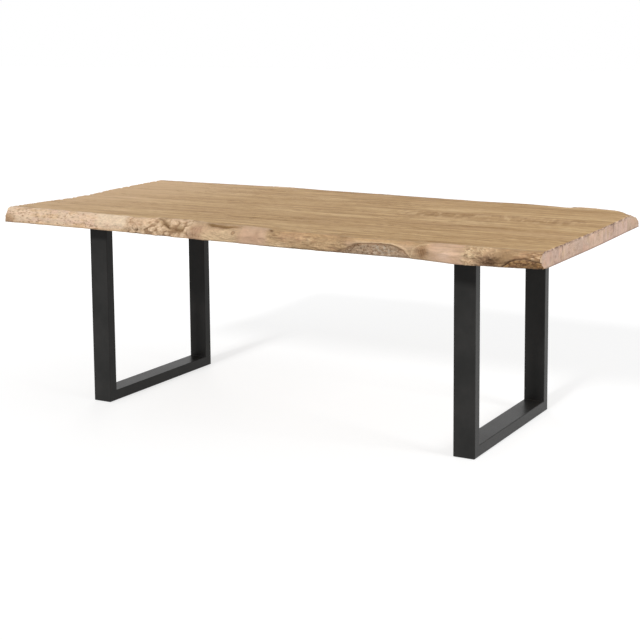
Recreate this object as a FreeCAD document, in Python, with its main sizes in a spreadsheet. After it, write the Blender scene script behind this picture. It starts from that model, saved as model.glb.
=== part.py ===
import FreeCAD, Part
import os
import Sketcher
from FreeCAD import Placement, Rotation, Vector

# A live edge dining table. Seven boards are edge glued into one thick top, whose two
# long sides keep the waney edge of the log. Two welded U frames of flat steel tube
# carry it. Each frame has a top plate with slots, and bolts run through the slots
# into threaded inserts in the underside, so that the wood can move with the seasons.
#
# The origin is on the floor, under the middle of the top. X runs along the table,
# -Y is the front edge, +Z is up. Lengths are millimetres.

doc = FreeCAD.newDocument("live_edge_dining_table")

# ---------------------------------------------------------------- driving dimensions

SIZES = [
    ("table_height", 760, "floor to the top face"),
    ("table_length", 2300, "over the furthest corners of the top"),
    ("table_width", 1220, "over the furthest bulges of the two live edges"),
    ("top_thickness", 56, "thickness of the boards"),
    ("front_board_width", 170, "front board, from its glue line to its furthest bulge"),
    ("back_board_width", 290, "back board, from its glue line to its furthest bulge"),
    ("left_overhang", 415, "left end of the full length to the middle of the left frame"),
    ("right_overhang", 345, "right end of the full length to the middle of the right frame"),
    ("frame_depth", 700, "front face to back face of a frame"),
    ("frame_shift_across", -35, "middle of the top to the middle of a frame, across the table"),
    ("tube_width", 80, "wide side of the steel tube"),
    ("tube_depth", 40, "narrow side of the steel tube"),
    ("tube_wall", 2, "wall of the steel tube"),
    ("tube_corner_radius", 3, "outside corner of the steel tube"),
    ("plate_thickness", 5, "flat bar welded across the two posts"),
    ("slot_width", 9, "width of the slots in the plate"),
    ("slot_length", 17, "length of the slots in the plate"),
    ("bolt_edge_distance", 30, "inner face of a post to the nearest bolt"),
    ("bolt_diameter", 8, "shank of the bolt"),
    ("bolt_length", 20, "shank under the head"),
    ("bolt_head_flats", 13, "across the flats of the hexagon head"),
    ("bolt_head_height", 5.3, "height of the hexagon head"),
    ("washer_diameter", 20, "outside of the washer"),
    ("washer_thickness", 1.6, "thickness of the washer"),
    ("insert_diameter", 12, "outside of the threaded insert"),
    ("insert_length", 20, "length of the threaded insert"),
    ("pilot_extra_depth", 2, "pilot hole beyond the insert"),
    ("glide_diameter", 25, "head of the plastic glide"),
    ("glide_thickness", 2.5, "head of the glide, which lifts the frame off the floor"),
    ("glide_stem_diameter", 8, "stem of the glide"),
    ("glide_stem_length", 9, "stem above the head"),
    ("glide_inset", 62, "outer face of a post to the middle of the glide"),
    ("running_fit", 0.2, "difference of diameter of a loose pin in its hole"),
]

# The sawn ends of the top are not quite square. Each trim is how far the saw line is
# inside the full length: at the front corner, at the six glue lines and at the back corner.
LEFT_TRIMS = [38, 38, 50, 68, 66, 35, 23, 0]
RIGHT_TRIMS = [0, 0, 0, 0, 2, 6, 10, 15]
for line, (left_trim, right_trim) in enumerate(zip(LEFT_TRIMS, RIGHT_TRIMS)):
    SIZES.append((f"left_trim_{line}", left_trim, f"left end inside the full length, line {line}"))
    SIZES.append((f"right_trim_{line}", right_trim, f"right end inside the full length, line {line}"))

sheet = doc.addObject("Spreadsheet::Sheet", "Sizes")
for row, (alias, size, meaning) in enumerate(SIZES, start=1):
    sheet.set(f"A{row}", alias)
    sheet.set(f"B{row}", str(size))
    sheet.set(f"C{row}", meaning)
    sheet.setAlias(f"B{row}", alias)
doc.recompute()

# ---------------------------------------------------------------- sizes that follow

INNER_BOARDS = 5
BOLTS_PER_FRAME = 5
GLIDES_PER_FRAME = 2

UNDERSIDE = "(Sizes.table_height - Sizes.top_thickness)"
INNER_BOARD_WIDTH = (
    f"((Sizes.table_width - Sizes.front_board_width - Sizes.back_board_width) / {INNER_BOARDS})"
)
POST_HEIGHT = f"({UNDERSIDE} - Sizes.plate_thickness - Sizes.glide_thickness)"
POST_OFFSET = "((Sizes.frame_depth - Sizes.tube_depth) / 2)"
BOLT_REACH = "(Sizes.frame_depth / 2 - Sizes.tube_depth - Sizes.bolt_edge_distance)"
BOLT_PITCH = f"(2 * {BOLT_REACH} / {BOLTS_PER_FRAME - 1})"
GLIDE_REACH = "(Sizes.frame_depth / 2 - Sizes.glide_inset)"
PILOT_DIAMETER = "(Sizes.insert_diameter + Sizes.running_fit)"
PILOT_DEPTH = "(Sizes.insert_length + Sizes.pilot_extra_depth)"

FRAME_X = {
    "left": "(Sizes.left_overhang - Sizes.table_length / 2)",
    "right": "(Sizes.table_length / 2 - Sizes.right_overhang)",
}


def glue_line(number):
    """Y of a glue line, counted from 1 at the front; 0 and 7 are the furthest bulges."""
    if number == 0:
        return "(-Sizes.table_width / 2)"
    if number == INNER_BOARDS + 2:
        return "(Sizes.table_width / 2)"
    return f"(Sizes.front_board_width - Sizes.table_width / 2 + {number - 1} * {INNER_BOARD_WIDTH})"


def left_end(line):
    """X of the saw line at the left end, where it crosses a glue line."""
    return f"(Sizes.left_trim_{line} - Sizes.table_length / 2)"


def right_end(line):
    """X of the saw line at the right end, where it crosses a glue line."""
    return f"(Sizes.table_length / 2 - Sizes.right_trim_{line})"


def bolt_y(number):
    """Y of a bolt within its frame, counted from 0 at the front."""
    return f"({number} * {BOLT_PITCH} - {BOLT_REACH})"


def measure(expression):
    """The present value of an expression, in millimetres."""
    return float(sheet.evalExpression(expression))


# ---------------------------------------------------------------- drawing helpers


def new_body(name, x="0", y="0", z="0"):
    """A body whose place follows three expressions."""
    body = doc.addObject("PartDesign::Body", name)
    body.Label = name
    body.Placement = Placement(Vector(measure(x), measure(y), measure(z)), Rotation())
    body.setExpression("Placement.Base.x", x)
    body.setExpression("Placement.Base.y", y)
    body.setExpression("Placement.Base.z", z)
    return body


def new_sketch(body, name, role):
    """An empty sketch on one of the body's own origin planes."""
    sketch = body.newObject("Sketcher::SketchObject", name)
    plane = next(item for item in body.Origin.OriginFeatures if item.Role == role)
    sketch.AttachmentSupport = [(plane, "")]
    sketch.MapMode = "FlatFace"
    return sketch


def bind(sketch, kind, place, expression):
    """A dimension of a sketch that follows an expression."""
    number = sketch.addConstraint(Sketcher.Constraint(kind, *place, measure(expression)))
    sketch.setExpression(f"Constraints[{number}]", expression)


def polygon(sketch, corners):
    """A closed outline through corners given as pairs of expressions."""
    points = [Vector(measure(across), measure(up), 0) for across, up in corners]
    edges = []
    for number, point in enumerate(points):
        following = points[(number + 1) % len(points)]
        edges.append(sketch.addGeometry(Part.LineSegment(point, following), False))
    for number, edge in enumerate(edges):
        following = edges[(number + 1) % len(edges)]
        sketch.addConstraint(Sketcher.Constraint("Coincident", edge, 2, following, 1))
    for edge, (across, up) in zip(edges, corners):
        bind(sketch, "DistanceX", (-1, 1, edge, 1), across)
        bind(sketch, "DistanceY", (-1, 1, edge, 1), up)


def box_corners(left, right, low, high):
    return [(left, low), (right, low), (right, high), (left, high)]


def circle(sketch, across, up, diameter):
    """A circle whose centre and diameter follow expressions."""
    centre = Vector(measure(across), measure(up), 0)
    round_edge = Part.Circle(centre, Vector(0, 0, 1), measure(diameter) / 2)
    edge = sketch.addGeometry(round_edge, False)
    bind(sketch, "DistanceX", (-1, 1, edge, 3), across)
    bind(sketch, "DistanceY", (-1, 1, edge, 3), up)
    bind(sketch, "Diameter", (edge,), diameter)


def pad(body, sketch, length, midplane=False):
    feature = body.newObject("PartDesign::Pad", "Pad")
    feature.Profile = sketch
    feature.Midplane = midplane
    feature.Length = measure(length)
    feature.setExpression("Length", length)
    doc.recompute()
    return feature


def cut_through(body, sketch, midplane=False, upwards=False):
    """Cuts a sketch right through the body."""
    feature = body.newObject("PartDesign::Pocket", "Cut")
    feature.Profile = sketch
    feature.Type = "ThroughAll"
    feature.Midplane = midplane
    feature.Reversed = upwards
    doc.recompute()
    return feature


def cut_upwards(body, sketch, depth):
    """Cuts a sketch on the XY plane upwards to a depth."""
    feature = body.newObject("PartDesign::Pocket", "Drilling")
    feature.Profile = sketch
    feature.Reversed = True
    feature.Length = measure(depth)
    feature.setExpression("Length", depth)
    doc.recompute()
    return feature


def edges_along(feature, axis):
    """Names of a feature's straight edges that run along an axis."""
    names = []
    for number, edge in enumerate(feature.Shape.Edges, start=1):
        if isinstance(edge.Curve, Part.Line) and edge.Curve.Direction.cross(axis).Length < 1e-6:
            names.append(f"Edge{number}")
    return names


def round_edges(body, feature, axis, radius):
    """Rounds all edges of a feature that run along an axis."""
    rounding = body.newObject("PartDesign::Fillet", "Rounding")
    rounding.Base = (feature, edges_along(feature, axis))
    rounding.Radius = measure(radius)
    rounding.setExpression("Radius", radius)
    doc.recompute()
    return rounding


# ---------------------------------------------------------------- the top


def drill_for_inserts(body):
    """Pilot holes for the threaded inserts of both frames, drilled after the glue-up."""
    sketch = new_sketch(body, "pilot_holes", "XY_Plane")
    for frame_x in FRAME_X.values():
        for number in range(BOLTS_PER_FRAME):
            across = f"(Sizes.frame_shift_across + {bolt_y(number)})"
            circle(sketch, frame_x, across, PILOT_DIAMETER)
    cut_upwards(body, sketch, PILOT_DEPTH)


def inner_board(number):
    """A plain board between two glue lines, sawn with the others at both ends."""
    body = new_body(f"inner_board_{number}", z=UNDERSIDE)
    plan = new_sketch(body, "plan", "XY_Plane")
    polygon(
        plan,
        [
            (left_end(number), glue_line(number)),
            (right_end(number), glue_line(number)),
            (right_end(number + 1), glue_line(number + 1)),
            (left_end(number + 1), glue_line(number + 1)),
        ],
    )
    pad(body, plan, "Sizes.top_thickness")
    drill_for_inserts(body)
    return body


# Each row is one place along a live edge: where it is, as a share of the table's length
# from its middle; how far the top arris, the nose and the bottom arris stand out from
# the glue line, as shares of the board's width; and the height of the nose, as a share
# of the thickness.
FRONT_EDGE = [
    (-0.500, 0.106, 0.276, 0.294, 0.32),
    (-0.435, 0.106, 0.294, 0.306, 0.38),
    (-0.322, 0.130, 0.335, 0.353, 0.43),
    (-0.239, 0.247, 0.382, 0.388, 0.46),
    (-0.183, 0.382, 0.529, 0.471, 0.61),
    (-0.167, 0.176, 0.471, 0.482, 0.38),
    (-0.107, 0.130, 0.529, 0.559, 0.32),
    (-0.033, 0.441, 0.618, 0.600, 0.61),
    (0.017, 0.353, 0.647, 0.635, 0.46),
    (0.074, 0.647, 0.753, 0.706, 0.68),
    (0.174, 0.647, 0.794, 0.747, 0.55),
    (0.222, 0.794, 0.835, 0.747, 0.68),
    (0.304, 0.735, 0.824, 0.753, 0.64),
    (0.374, 0.735, 0.953, 0.965, 0.50),
    (0.439, 0.765, 0.953, 0.894, 0.61),
    (0.470, 0.753, 1.000, 0.835, 0.64),
    (0.500, 0.706, 0.941, 0.659, 0.61),
]
BACK_EDGE = [
    (-0.500, 0.938, 0.986, 0.959, 0.46),
    (-0.400, 0.931, 0.980, 0.955, 0.50),
    (-0.243, 0.945, 1.000, 0.976, 0.46),
    (-0.178, 0.938, 0.986, 0.959, 0.50),
    (-0.104, 0.848, 0.910, 0.890, 0.43),
    (0.000, 0.786, 0.848, 0.828, 0.46),
    (0.210, 0.634, 0.703, 0.690, 0.46),
    (0.297, 0.645, 0.703, 0.690, 0.46),
    (0.374, 0.524, 0.621, 0.614, 0.40),
    (0.392, 0.600, 0.648, 0.621, 0.46),
    (0.454, 0.517, 0.621, 0.614, 0.36),
    (0.476, 0.362, 0.579, 0.566, 0.25),
    (0.500, 0.010, 0.490, 0.517, 0.32),
]
SAW_MARGIN = 60  # the waste beyond the board that the saw line clears


def live_board(name, edge, line, outer_line, outwards, width):
    """A board with one waney edge, lofted through its sections, then sawn at both ends."""
    body = new_body(name, z=UNDERSIDE)
    joint = glue_line(line)
    sections = []
    for number, (along, top, nose, bottom, nose_height) in enumerate(edge):
        section = new_sketch(body, f"section_{number}", "YZ_Plane")
        section.AttachmentOffset = Placement(
            Vector(0, 0, measure(f"{along} * Sizes.table_length")), Rotation()
        )
        section.setExpression("AttachmentOffset.Base.z", f"{along} * Sizes.table_length")
        polygon(
            section,
            [
                (joint, "0"),
                (joint, "Sizes.top_thickness"),
                (f"{joint} {outwards} {top} * {width}", "Sizes.top_thickness"),
                (f"{joint} {outwards} {nose} * {width}", f"{nose_height} * Sizes.top_thickness"),
                (f"{joint} {outwards} {bottom} * {width}", "0"),
            ],
        )
        sections.append(section)
    doc.recompute()
    loft = body.newObject("PartDesign::AdditiveLoft", "Loft")
    loft.Profile = sections[0]
    loft.Sections = sections[1:]
    loft.Ruled = True
    doc.recompute()

    outer = glue_line(outer_line)
    clear = f"({outer} {outwards} {SAW_MARGIN})"
    saw = new_sketch(body, "saw_lines", "XY_Plane")
    for saw_line, direction in ((left_end, "-"), (right_end, "")):
        beyond = f"({direction}(Sizes.table_length / 2 + {SAW_MARGIN}))"
        polygon(
            saw,
            [
                (beyond, joint),
                (saw_line(line), joint),
                (saw_line(outer_line), outer),
                (saw_line(outer_line), clear),
                (beyond, clear),
            ],
        )
    cut_through(body, saw, upwards=True)
    drill_for_inserts(body)
    return body


# ---------------------------------------------------------------- the steel frames


def tube_section(body, name, role, low, high, wall):
    """The outline of the tube, or of its bore where wall is the tube's own wall."""
    half = "Sizes.tube_width / 2"
    sketch = new_sketch(body, name, role)
    polygon(
        sketch,
        box_corners(f"{wall} - {half}", f"{half} - {wall}", f"{low} + {wall}", f"{high} - {wall}"),
    )
    return sketch


def post(side, end):
    """An upright of a frame: a tube whose foot is mitred to meet the rail."""
    towards = "-" if end == "front" else "+"
    body = new_body(
        f"{side}_frame_{end}_post",
        x=FRAME_X[side],
        y=f"Sizes.frame_shift_across {towards} {POST_OFFSET}",
        z="Sizes.glide_thickness",
    )
    if end == "back":
        body.Placement = Placement(body.Placement.Base, Rotation(Vector(0, 0, 1), 180))
    half_depth = "Sizes.tube_depth / 2"
    outline = tube_section(body, "outline", "XY_Plane", f"-{half_depth}", half_depth, "0")
    tube = pad(body, outline, POST_HEIGHT)
    round_edges(body, tube, Vector(0, 0, 1), "Sizes.tube_corner_radius")
    bore = tube_section(body, "bore", "XY_Plane", f"-{half_depth}", half_depth, "Sizes.tube_wall")
    cut_through(body, bore, upwards=True)
    mitre = new_sketch(body, "mitre", "YZ_Plane")
    polygon(
        mitre,
        [(f"-{half_depth}", "0"), (half_depth, "0"), (half_depth, "Sizes.tube_depth")],
    )
    cut_through(body, mitre, midplane=True)
    return body


def rail(side):
    """The tube along the floor, mitred at both ends, with a hole for each glide."""
    body = new_body(
        f"{side}_frame_bottom_rail",
        x=FRAME_X[side],
        y="Sizes.frame_shift_across",
        z="Sizes.glide_thickness",
    )
    outline = tube_section(body, "outline", "XZ_Plane", "0", "Sizes.tube_depth", "0")
    tube = pad(body, outline, "Sizes.frame_depth", midplane=True)
    round_edges(body, tube, Vector(0, 1, 0), "Sizes.tube_corner_radius")
    bore = tube_section(body, "bore", "XZ_Plane", "0", "Sizes.tube_depth", "Sizes.tube_wall")
    cut_through(body, bore, midplane=True)
    mitres = new_sketch(body, "mitres", "YZ_Plane")
    for outwards in ("-", ""):
        end = f"{outwards}Sizes.frame_depth / 2"
        inside = f"{outwards}(Sizes.frame_depth / 2 - Sizes.tube_depth)"
        polygon(mitres, [(end, "0"), (end, "Sizes.tube_depth"), (inside, "Sizes.tube_depth")])
    cut_through(body, mitres, midplane=True)
    holes = new_sketch(body, "glide_holes", "XY_Plane")
    for outwards in ("-", ""):
        circle(holes, "0", f"{outwards}{GLIDE_REACH}", "Sizes.glide_stem_diameter")
    cut_upwards(body, holes, "Sizes.tube_wall")
    return body


def top_plate(side):
    """The flat bar welded across the posts, slotted across the grain for the bolts."""
    body = new_body(
        f"{side}_frame_top_plate",
        x=FRAME_X[side],
        y="Sizes.frame_shift_across",
        z=f"{UNDERSIDE} - Sizes.plate_thickness",
    )
    outline = new_sketch(body, "outline", "XY_Plane")
    half_width = "Sizes.tube_width / 2"
    half_depth = "Sizes.frame_depth / 2"
    polygon(outline, box_corners(f"-{half_width}", half_width, f"-{half_depth}", half_depth))
    bar = pad(body, outline, "Sizes.plate_thickness")
    round_edges(body, bar, Vector(0, 0, 1), "Sizes.tube_corner_radius")
    slot_half = "Sizes.slot_width / 2"
    straight_half = "(Sizes.slot_length - Sizes.slot_width) / 2"
    slot = new_sketch(body, "slot", "XY_Plane")
    polygon(
        slot,
        box_corners(
            f"-{slot_half}",
            slot_half,
            f"{bolt_y(0)} - {straight_half}",
            f"{bolt_y(0)} + {straight_half}",
        ),
    )
    slot_ends = new_sketch(body, "slot_ends", "XY_Plane")
    circle(slot_ends, "0", f"{bolt_y(0)} - {straight_half}", "Sizes.slot_width")
    circle(slot_ends, "0", f"{bolt_y(0)} + {straight_half}", "Sizes.slot_width")
    middle = cut_through(body, slot, upwards=True)
    ends = cut_through(body, slot_ends, upwards=True)
    row = body.newObject("PartDesign::LinearPattern", "SlotRow")
    row.Originals = [middle, ends]
    row.Direction = (slot, ["V_Axis"])
    row.Length = measure(f"2 * {BOLT_REACH}")
    row.setExpression("Length", f"2 * {BOLT_REACH}")
    row.Occurrences = BOLTS_PER_FRAME
    body.Tip = row
    doc.recompute()
    return body


# ---------------------------------------------------------------- fasteners and glides


def turned(body, profile):
    """Turns a closed half profile, given as pairs of radius and height, about Z."""
    sketch = new_sketch(body, "profile", "XZ_Plane")
    polygon(sketch, profile)
    doc.recompute()
    turning = body.newObject("PartDesign::Revolution", "Turning")
    turning.Profile = sketch
    turning.ReferenceAxis = (sketch, ["V_Axis"])
    turning.Angle = 360
    doc.recompute()
    return turning


def bolt():
    """A hexagon bolt, its shank up and its head's upper face at the origin."""
    body = new_body("bolt")
    shank_radius = "Sizes.bolt_diameter / 2"
    tip_bevel = "Sizes.bolt_diameter / 8"
    corner_radius = "Sizes.bolt_head_flats / sqrt(3)"
    crown = "Sizes.bolt_head_height / 8"
    turned(
        body,
        [
            ("0", "-Sizes.bolt_head_height"),
            (f"{corner_radius} - 2 * {crown}", "-Sizes.bolt_head_height"),
            (corner_radius, f"{crown} - Sizes.bolt_head_height"),
            (corner_radius, "0"),
            (shank_radius, "0"),
            (shank_radius, f"Sizes.bolt_length - {tip_bevel}"),
            (f"{shank_radius} - {tip_bevel}", "Sizes.bolt_length"),
            ("0", "Sizes.bolt_length"),
        ],
    )
    flats = new_sketch(body, "flats", "XY_Plane")
    beyond = "Sizes.bolt_head_flats"
    polygon(flats, box_corners(f"{beyond} / 2", beyond, f"-{beyond}", beyond))
    milled = body.newObject("PartDesign::Pocket", "Flat")
    milled.Profile = flats
    milled.Length = measure("Sizes.bolt_head_height")
    milled.setExpression("Length", "Sizes.bolt_head_height")
    doc.recompute()
    around = body.newObject("PartDesign::PolarPattern", "Flats")
    around.Originals = [milled]
    around.Axis = (flats, ["N_Axis"])
    around.Angle = 360
    around.Occurrences = 6
    body.Tip = around
    doc.recompute()
    return body


def ring(name, outside, bore, height):
    """A plain ring that stands on the origin."""
    body = new_body(name)
    turned(
        body,
        [
            (f"{bore} / 2", "0"),
            (f"{outside} / 2", "0"),
            (f"{outside} / 2", height),
            (f"{bore} / 2", height),
        ],
    )
    return body


def glide():
    """A plastic glide: a flat head on the floor and a stem pushed into the rail."""
    body = new_body("glide")
    head_radius = "Sizes.glide_diameter / 2"
    stem_radius = "(Sizes.glide_stem_diameter - Sizes.running_fit) / 2"
    bevel = "Sizes.glide_thickness / 3"
    stem_top = "Sizes.glide_thickness + Sizes.glide_stem_length"
    turned(
        body,
        [
            ("0", "0"),
            (f"{head_radius} - {bevel}", "0"),
            (head_radius, bevel),
            (head_radius, "Sizes.glide_thickness"),
            (stem_radius, "Sizes.glide_thickness"),
            (stem_radius, f"{stem_top} - {bevel}"),
            (f"{stem_radius} - {bevel}", stem_top),
            ("0", stem_top),
        ],
    )
    return body


def group(name, piece, side, places, z):
    """Separate copies of one piece along a frame, kept together under one name."""
    copies = []
    for number, y in enumerate(places):
        copy = doc.addObject("App::Link", f"{name}_{number + 1}")
        copy.LinkedObject = piece
        copy.LinkTransform = False
        copy.Placement = Placement(Vector(0, measure(y), 0), Rotation())
        copy.setExpression("Placement.Base.y", y)
        copies.append(copy)
    together = doc.addObject("Part::Compound", name)
    together.Label = name
    together.Links = copies
    together.setExpression("Placement.Base.x", FRAME_X[side])
    together.setExpression("Placement.Base.y", "Sizes.frame_shift_across")
    together.setExpression("Placement.Base.z", z)
    return together


# ---------------------------------------------------------------- the whole table

one_bolt = bolt()
one_washer = ring(
    "washer",
    "Sizes.washer_diameter",
    "(Sizes.bolt_diameter + 2 * Sizes.running_fit)",
    "Sizes.washer_thickness",
)
one_insert = ring(
    "insert",
    "Sizes.insert_diameter",
    "(Sizes.bolt_diameter + Sizes.running_fit)",
    "Sizes.insert_length",
)
one_glide = glide()

bolt_places = [bolt_y(number) for number in range(BOLTS_PER_FRAME)]
glide_places = [f"-{GLIDE_REACH}", GLIDE_REACH]
washer_z = f"{UNDERSIDE} - Sizes.plate_thickness - Sizes.washer_thickness"

nodes = [
    live_board("front_live_edge_board", FRONT_EDGE, 1, 0, "-", "Sizes.front_board_width"),
    *[inner_board(number) for number in range(1, INNER_BOARDS + 1)],
    live_board(
        "back_live_edge_board",
        BACK_EDGE,
        INNER_BOARDS + 1,
        INNER_BOARDS + 2,
        "+",
        "Sizes.back_board_width",
    ),
]
for side in FRAME_X:
    nodes += [
        post(side, "front"),
        post(side, "back"),
        rail(side),
        top_plate(side),
        group(f"{side}_frame_bolts", one_bolt, side, bolt_places, washer_z),
        group(f"{side}_frame_washers", one_washer, side, bolt_places, washer_z),
        group(f"{side}_frame_inserts", one_insert, side, bolt_places, UNDERSIDE),
        group(f"{side}_frame_glides", one_glide, side, glide_places, "0"),
    ]
doc.recompute()

# ---------------------------------------------------------------- checks and files

for item in doc.Objects:
    if "Invalid" in item.State or "Error" in item.State:
        raise RuntimeError(f"{item.Label} failed: {item.State}")
for node in nodes:
    if node.Shape.isNull() or not node.Shape.isValid() or not node.Shape.Solids:
        raise RuntimeError(f"{node.Label} has no valid solid")

os.makedirs("parts", exist_ok=True)
for node in nodes:
    node.Shape.exportStep(f"parts/{node.Label}.step")
    box = node.Shape.BoundBox
    print(
        f"{node.Label:28s} solids {len(node.Shape.Solids)}  volume {node.Shape.Volume / 1000:9.1f} cm3  "
        f"x {box.XMin:8.1f} {box.XMax:8.1f}  y {box.YMin:7.1f} {box.YMax:7.1f}  "
        f"z {box.ZMin:6.1f} {box.ZMax:6.1f}"
    )
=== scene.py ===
# %% [markdown]
# # A live edge dining table
#
# The table is seven boards glued edge to edge into one thick top. The two outer boards
# keep the waney edge of the log, and the ends are sawn. The top is bolted to two welded
# frames of flat black tube, which are open U shapes with a thin plate under the wood.
#
# The frame of exact solids comes in first. Steel, bolts, washers, inserts and glides keep
# those solids and only get a finish. The boards are modelled again here, because a waney
# edge, chipped saw cuts and drying cracks are what a viewer looks at on such a table.

# %% Load the solids
import math

import bmesh
import bpy
import numpy as np
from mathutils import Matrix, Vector, noise


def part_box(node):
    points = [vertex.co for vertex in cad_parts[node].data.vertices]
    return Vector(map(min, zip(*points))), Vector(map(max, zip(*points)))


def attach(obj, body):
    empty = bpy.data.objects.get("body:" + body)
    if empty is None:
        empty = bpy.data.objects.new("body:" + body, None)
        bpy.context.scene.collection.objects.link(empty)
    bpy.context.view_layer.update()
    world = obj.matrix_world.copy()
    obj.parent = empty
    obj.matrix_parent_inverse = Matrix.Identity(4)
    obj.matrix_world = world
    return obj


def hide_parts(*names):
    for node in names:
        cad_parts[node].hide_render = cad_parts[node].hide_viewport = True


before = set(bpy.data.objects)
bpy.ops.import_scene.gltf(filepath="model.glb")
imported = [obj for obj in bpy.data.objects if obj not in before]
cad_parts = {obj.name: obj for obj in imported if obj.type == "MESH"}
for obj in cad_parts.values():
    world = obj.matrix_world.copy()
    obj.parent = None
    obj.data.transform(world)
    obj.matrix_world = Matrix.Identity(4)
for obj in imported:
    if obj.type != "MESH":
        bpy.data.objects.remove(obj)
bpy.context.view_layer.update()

# %% [markdown]
# ## Camera
#
# A long lens from some way off, a little above the table top, keeps the long top from
# looking stretched. The lens is shifted down, as on a view camera, so that the uprights
# of the frames stay nearly parallel while the table sits in the middle of the picture.

# %% Place the camera
CAMERA_PLACE = (2.606, -4.529, 1.440)
CAMERA_TURN_DEGREES = (82.96, 0.455, 29.52)
LENS_MM = 77.13
LENS_SHIFT = -0.1875

camera_data = bpy.data.cameras.new("view")
camera_data.lens = LENS_MM
camera_data.shift_y = LENS_SHIFT
camera = bpy.data.objects.new("view", camera_data)
camera.location = CAMERA_PLACE
camera.rotation_euler = [math.radians(angle) for angle in CAMERA_TURN_DEGREES]
bpy.context.scene.collection.objects.link(camera)
bpy.context.scene.camera = camera
bpy.context.scene.view_settings.view_transform = "Standard"
print("camera", camera.location)

# %% [markdown]
# ## Shader helpers
#
# A finish is a graph of nodes, and a long formula is hard to read as a graph. So a
# Field wraps one socket that holds a number, and arithmetic on it adds the Math nodes.
# A Graph makes every other kind of node in one method, and a Finish is the graph of a
# material.

# %% Numbers that vary
def linear(levels):
    """Colours mixed from 0 to 255 for the eye, as the linear light a shader wants."""
    parts = np.asarray(levels) / 255
    return np.where(parts <= 0.04045, parts / 12.92, ((parts + 0.055) / 1.055) ** 2.4)


def paint(red, green, blue):
    return (*linear((red, green, blue)).tolist(), 1.0)


class Field:
    """A number that varies over a surface."""

    def __init__(self, graph, socket):
        self.graph = graph
        self.socket = socket

    def math(self, operation, *values):
        feeds = dict(enumerate(values))
        made = self.graph.node("ShaderNodeMath", {"operation": operation}, feeds)
        return Field(self.graph, made.outputs[0])

    def __add__(self, other):
        return self.math("ADD", self, other)

    def __sub__(self, other):
        return self.math("SUBTRACT", self, other)

    def __rsub__(self, other):
        return self.math("SUBTRACT", other, self)

    def __mul__(self, other):
        return self.math("MULTIPLY", self, other)

    def __truediv__(self, other):
        return self.math("DIVIDE", self, other)

    def __pow__(self, other):
        return self.math("POWER", self, other)

    def __abs__(self):
        return self.math("ABSOLUTE", self)

    __radd__ = __add__
    __rmul__ = __mul__

    def larger(self, other):
        return self.math("MAXIMUM", self, other)

    def smaller(self, other):
        return self.math("MINIMUM", self, other)

    def step(self, low, high):
        """0 up to low, 1 from high, and smooth between."""
        settings = {"interpolation_type": "SMOOTHSTEP"}
        feeds = {"Value": self, "From Min": low, "From Max": high}
        made = self.graph.node("ShaderNodeMapRange", settings, feeds)
        return Field(self.graph, made.outputs["Result"])

    def swing(self, width):
        """Noise about 0.5, as a swing about 0 that is so many times as wide."""
        return (self - 0.5) * width


# %% Graphs and finishes
class Graph:
    """A tree of nodes, and the one method that adds a node to it."""

    def __init__(self, tree):
        self.tree = tree

    def node(self, kind, settings=None, feeds=None):
        made = self.tree.nodes.new(kind)
        for setting, choice in (settings or {}).items():
            if setting == "stops":
                self.set_stops(made.color_ramp, choice)
            else:
                setattr(made, setting, choice)
        for name, feed in (feeds or {}).items():
            self.join(feed, made.inputs[name])
        return made

    def set_stops(self, ramp, stops):
        while len(ramp.elements) < len(stops):
            ramp.elements.new(1.0)
        for element, (position, colour) in zip(ramp.elements, stops):
            element.position = position
            element.color = colour

    def join(self, feed, socket):
        if isinstance(feed, Field):
            feed = feed.socket
        if isinstance(feed, bpy.types.NodeSocket):
            self.tree.links.new(feed, socket)
        else:
            socket.default_value = feed


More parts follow.
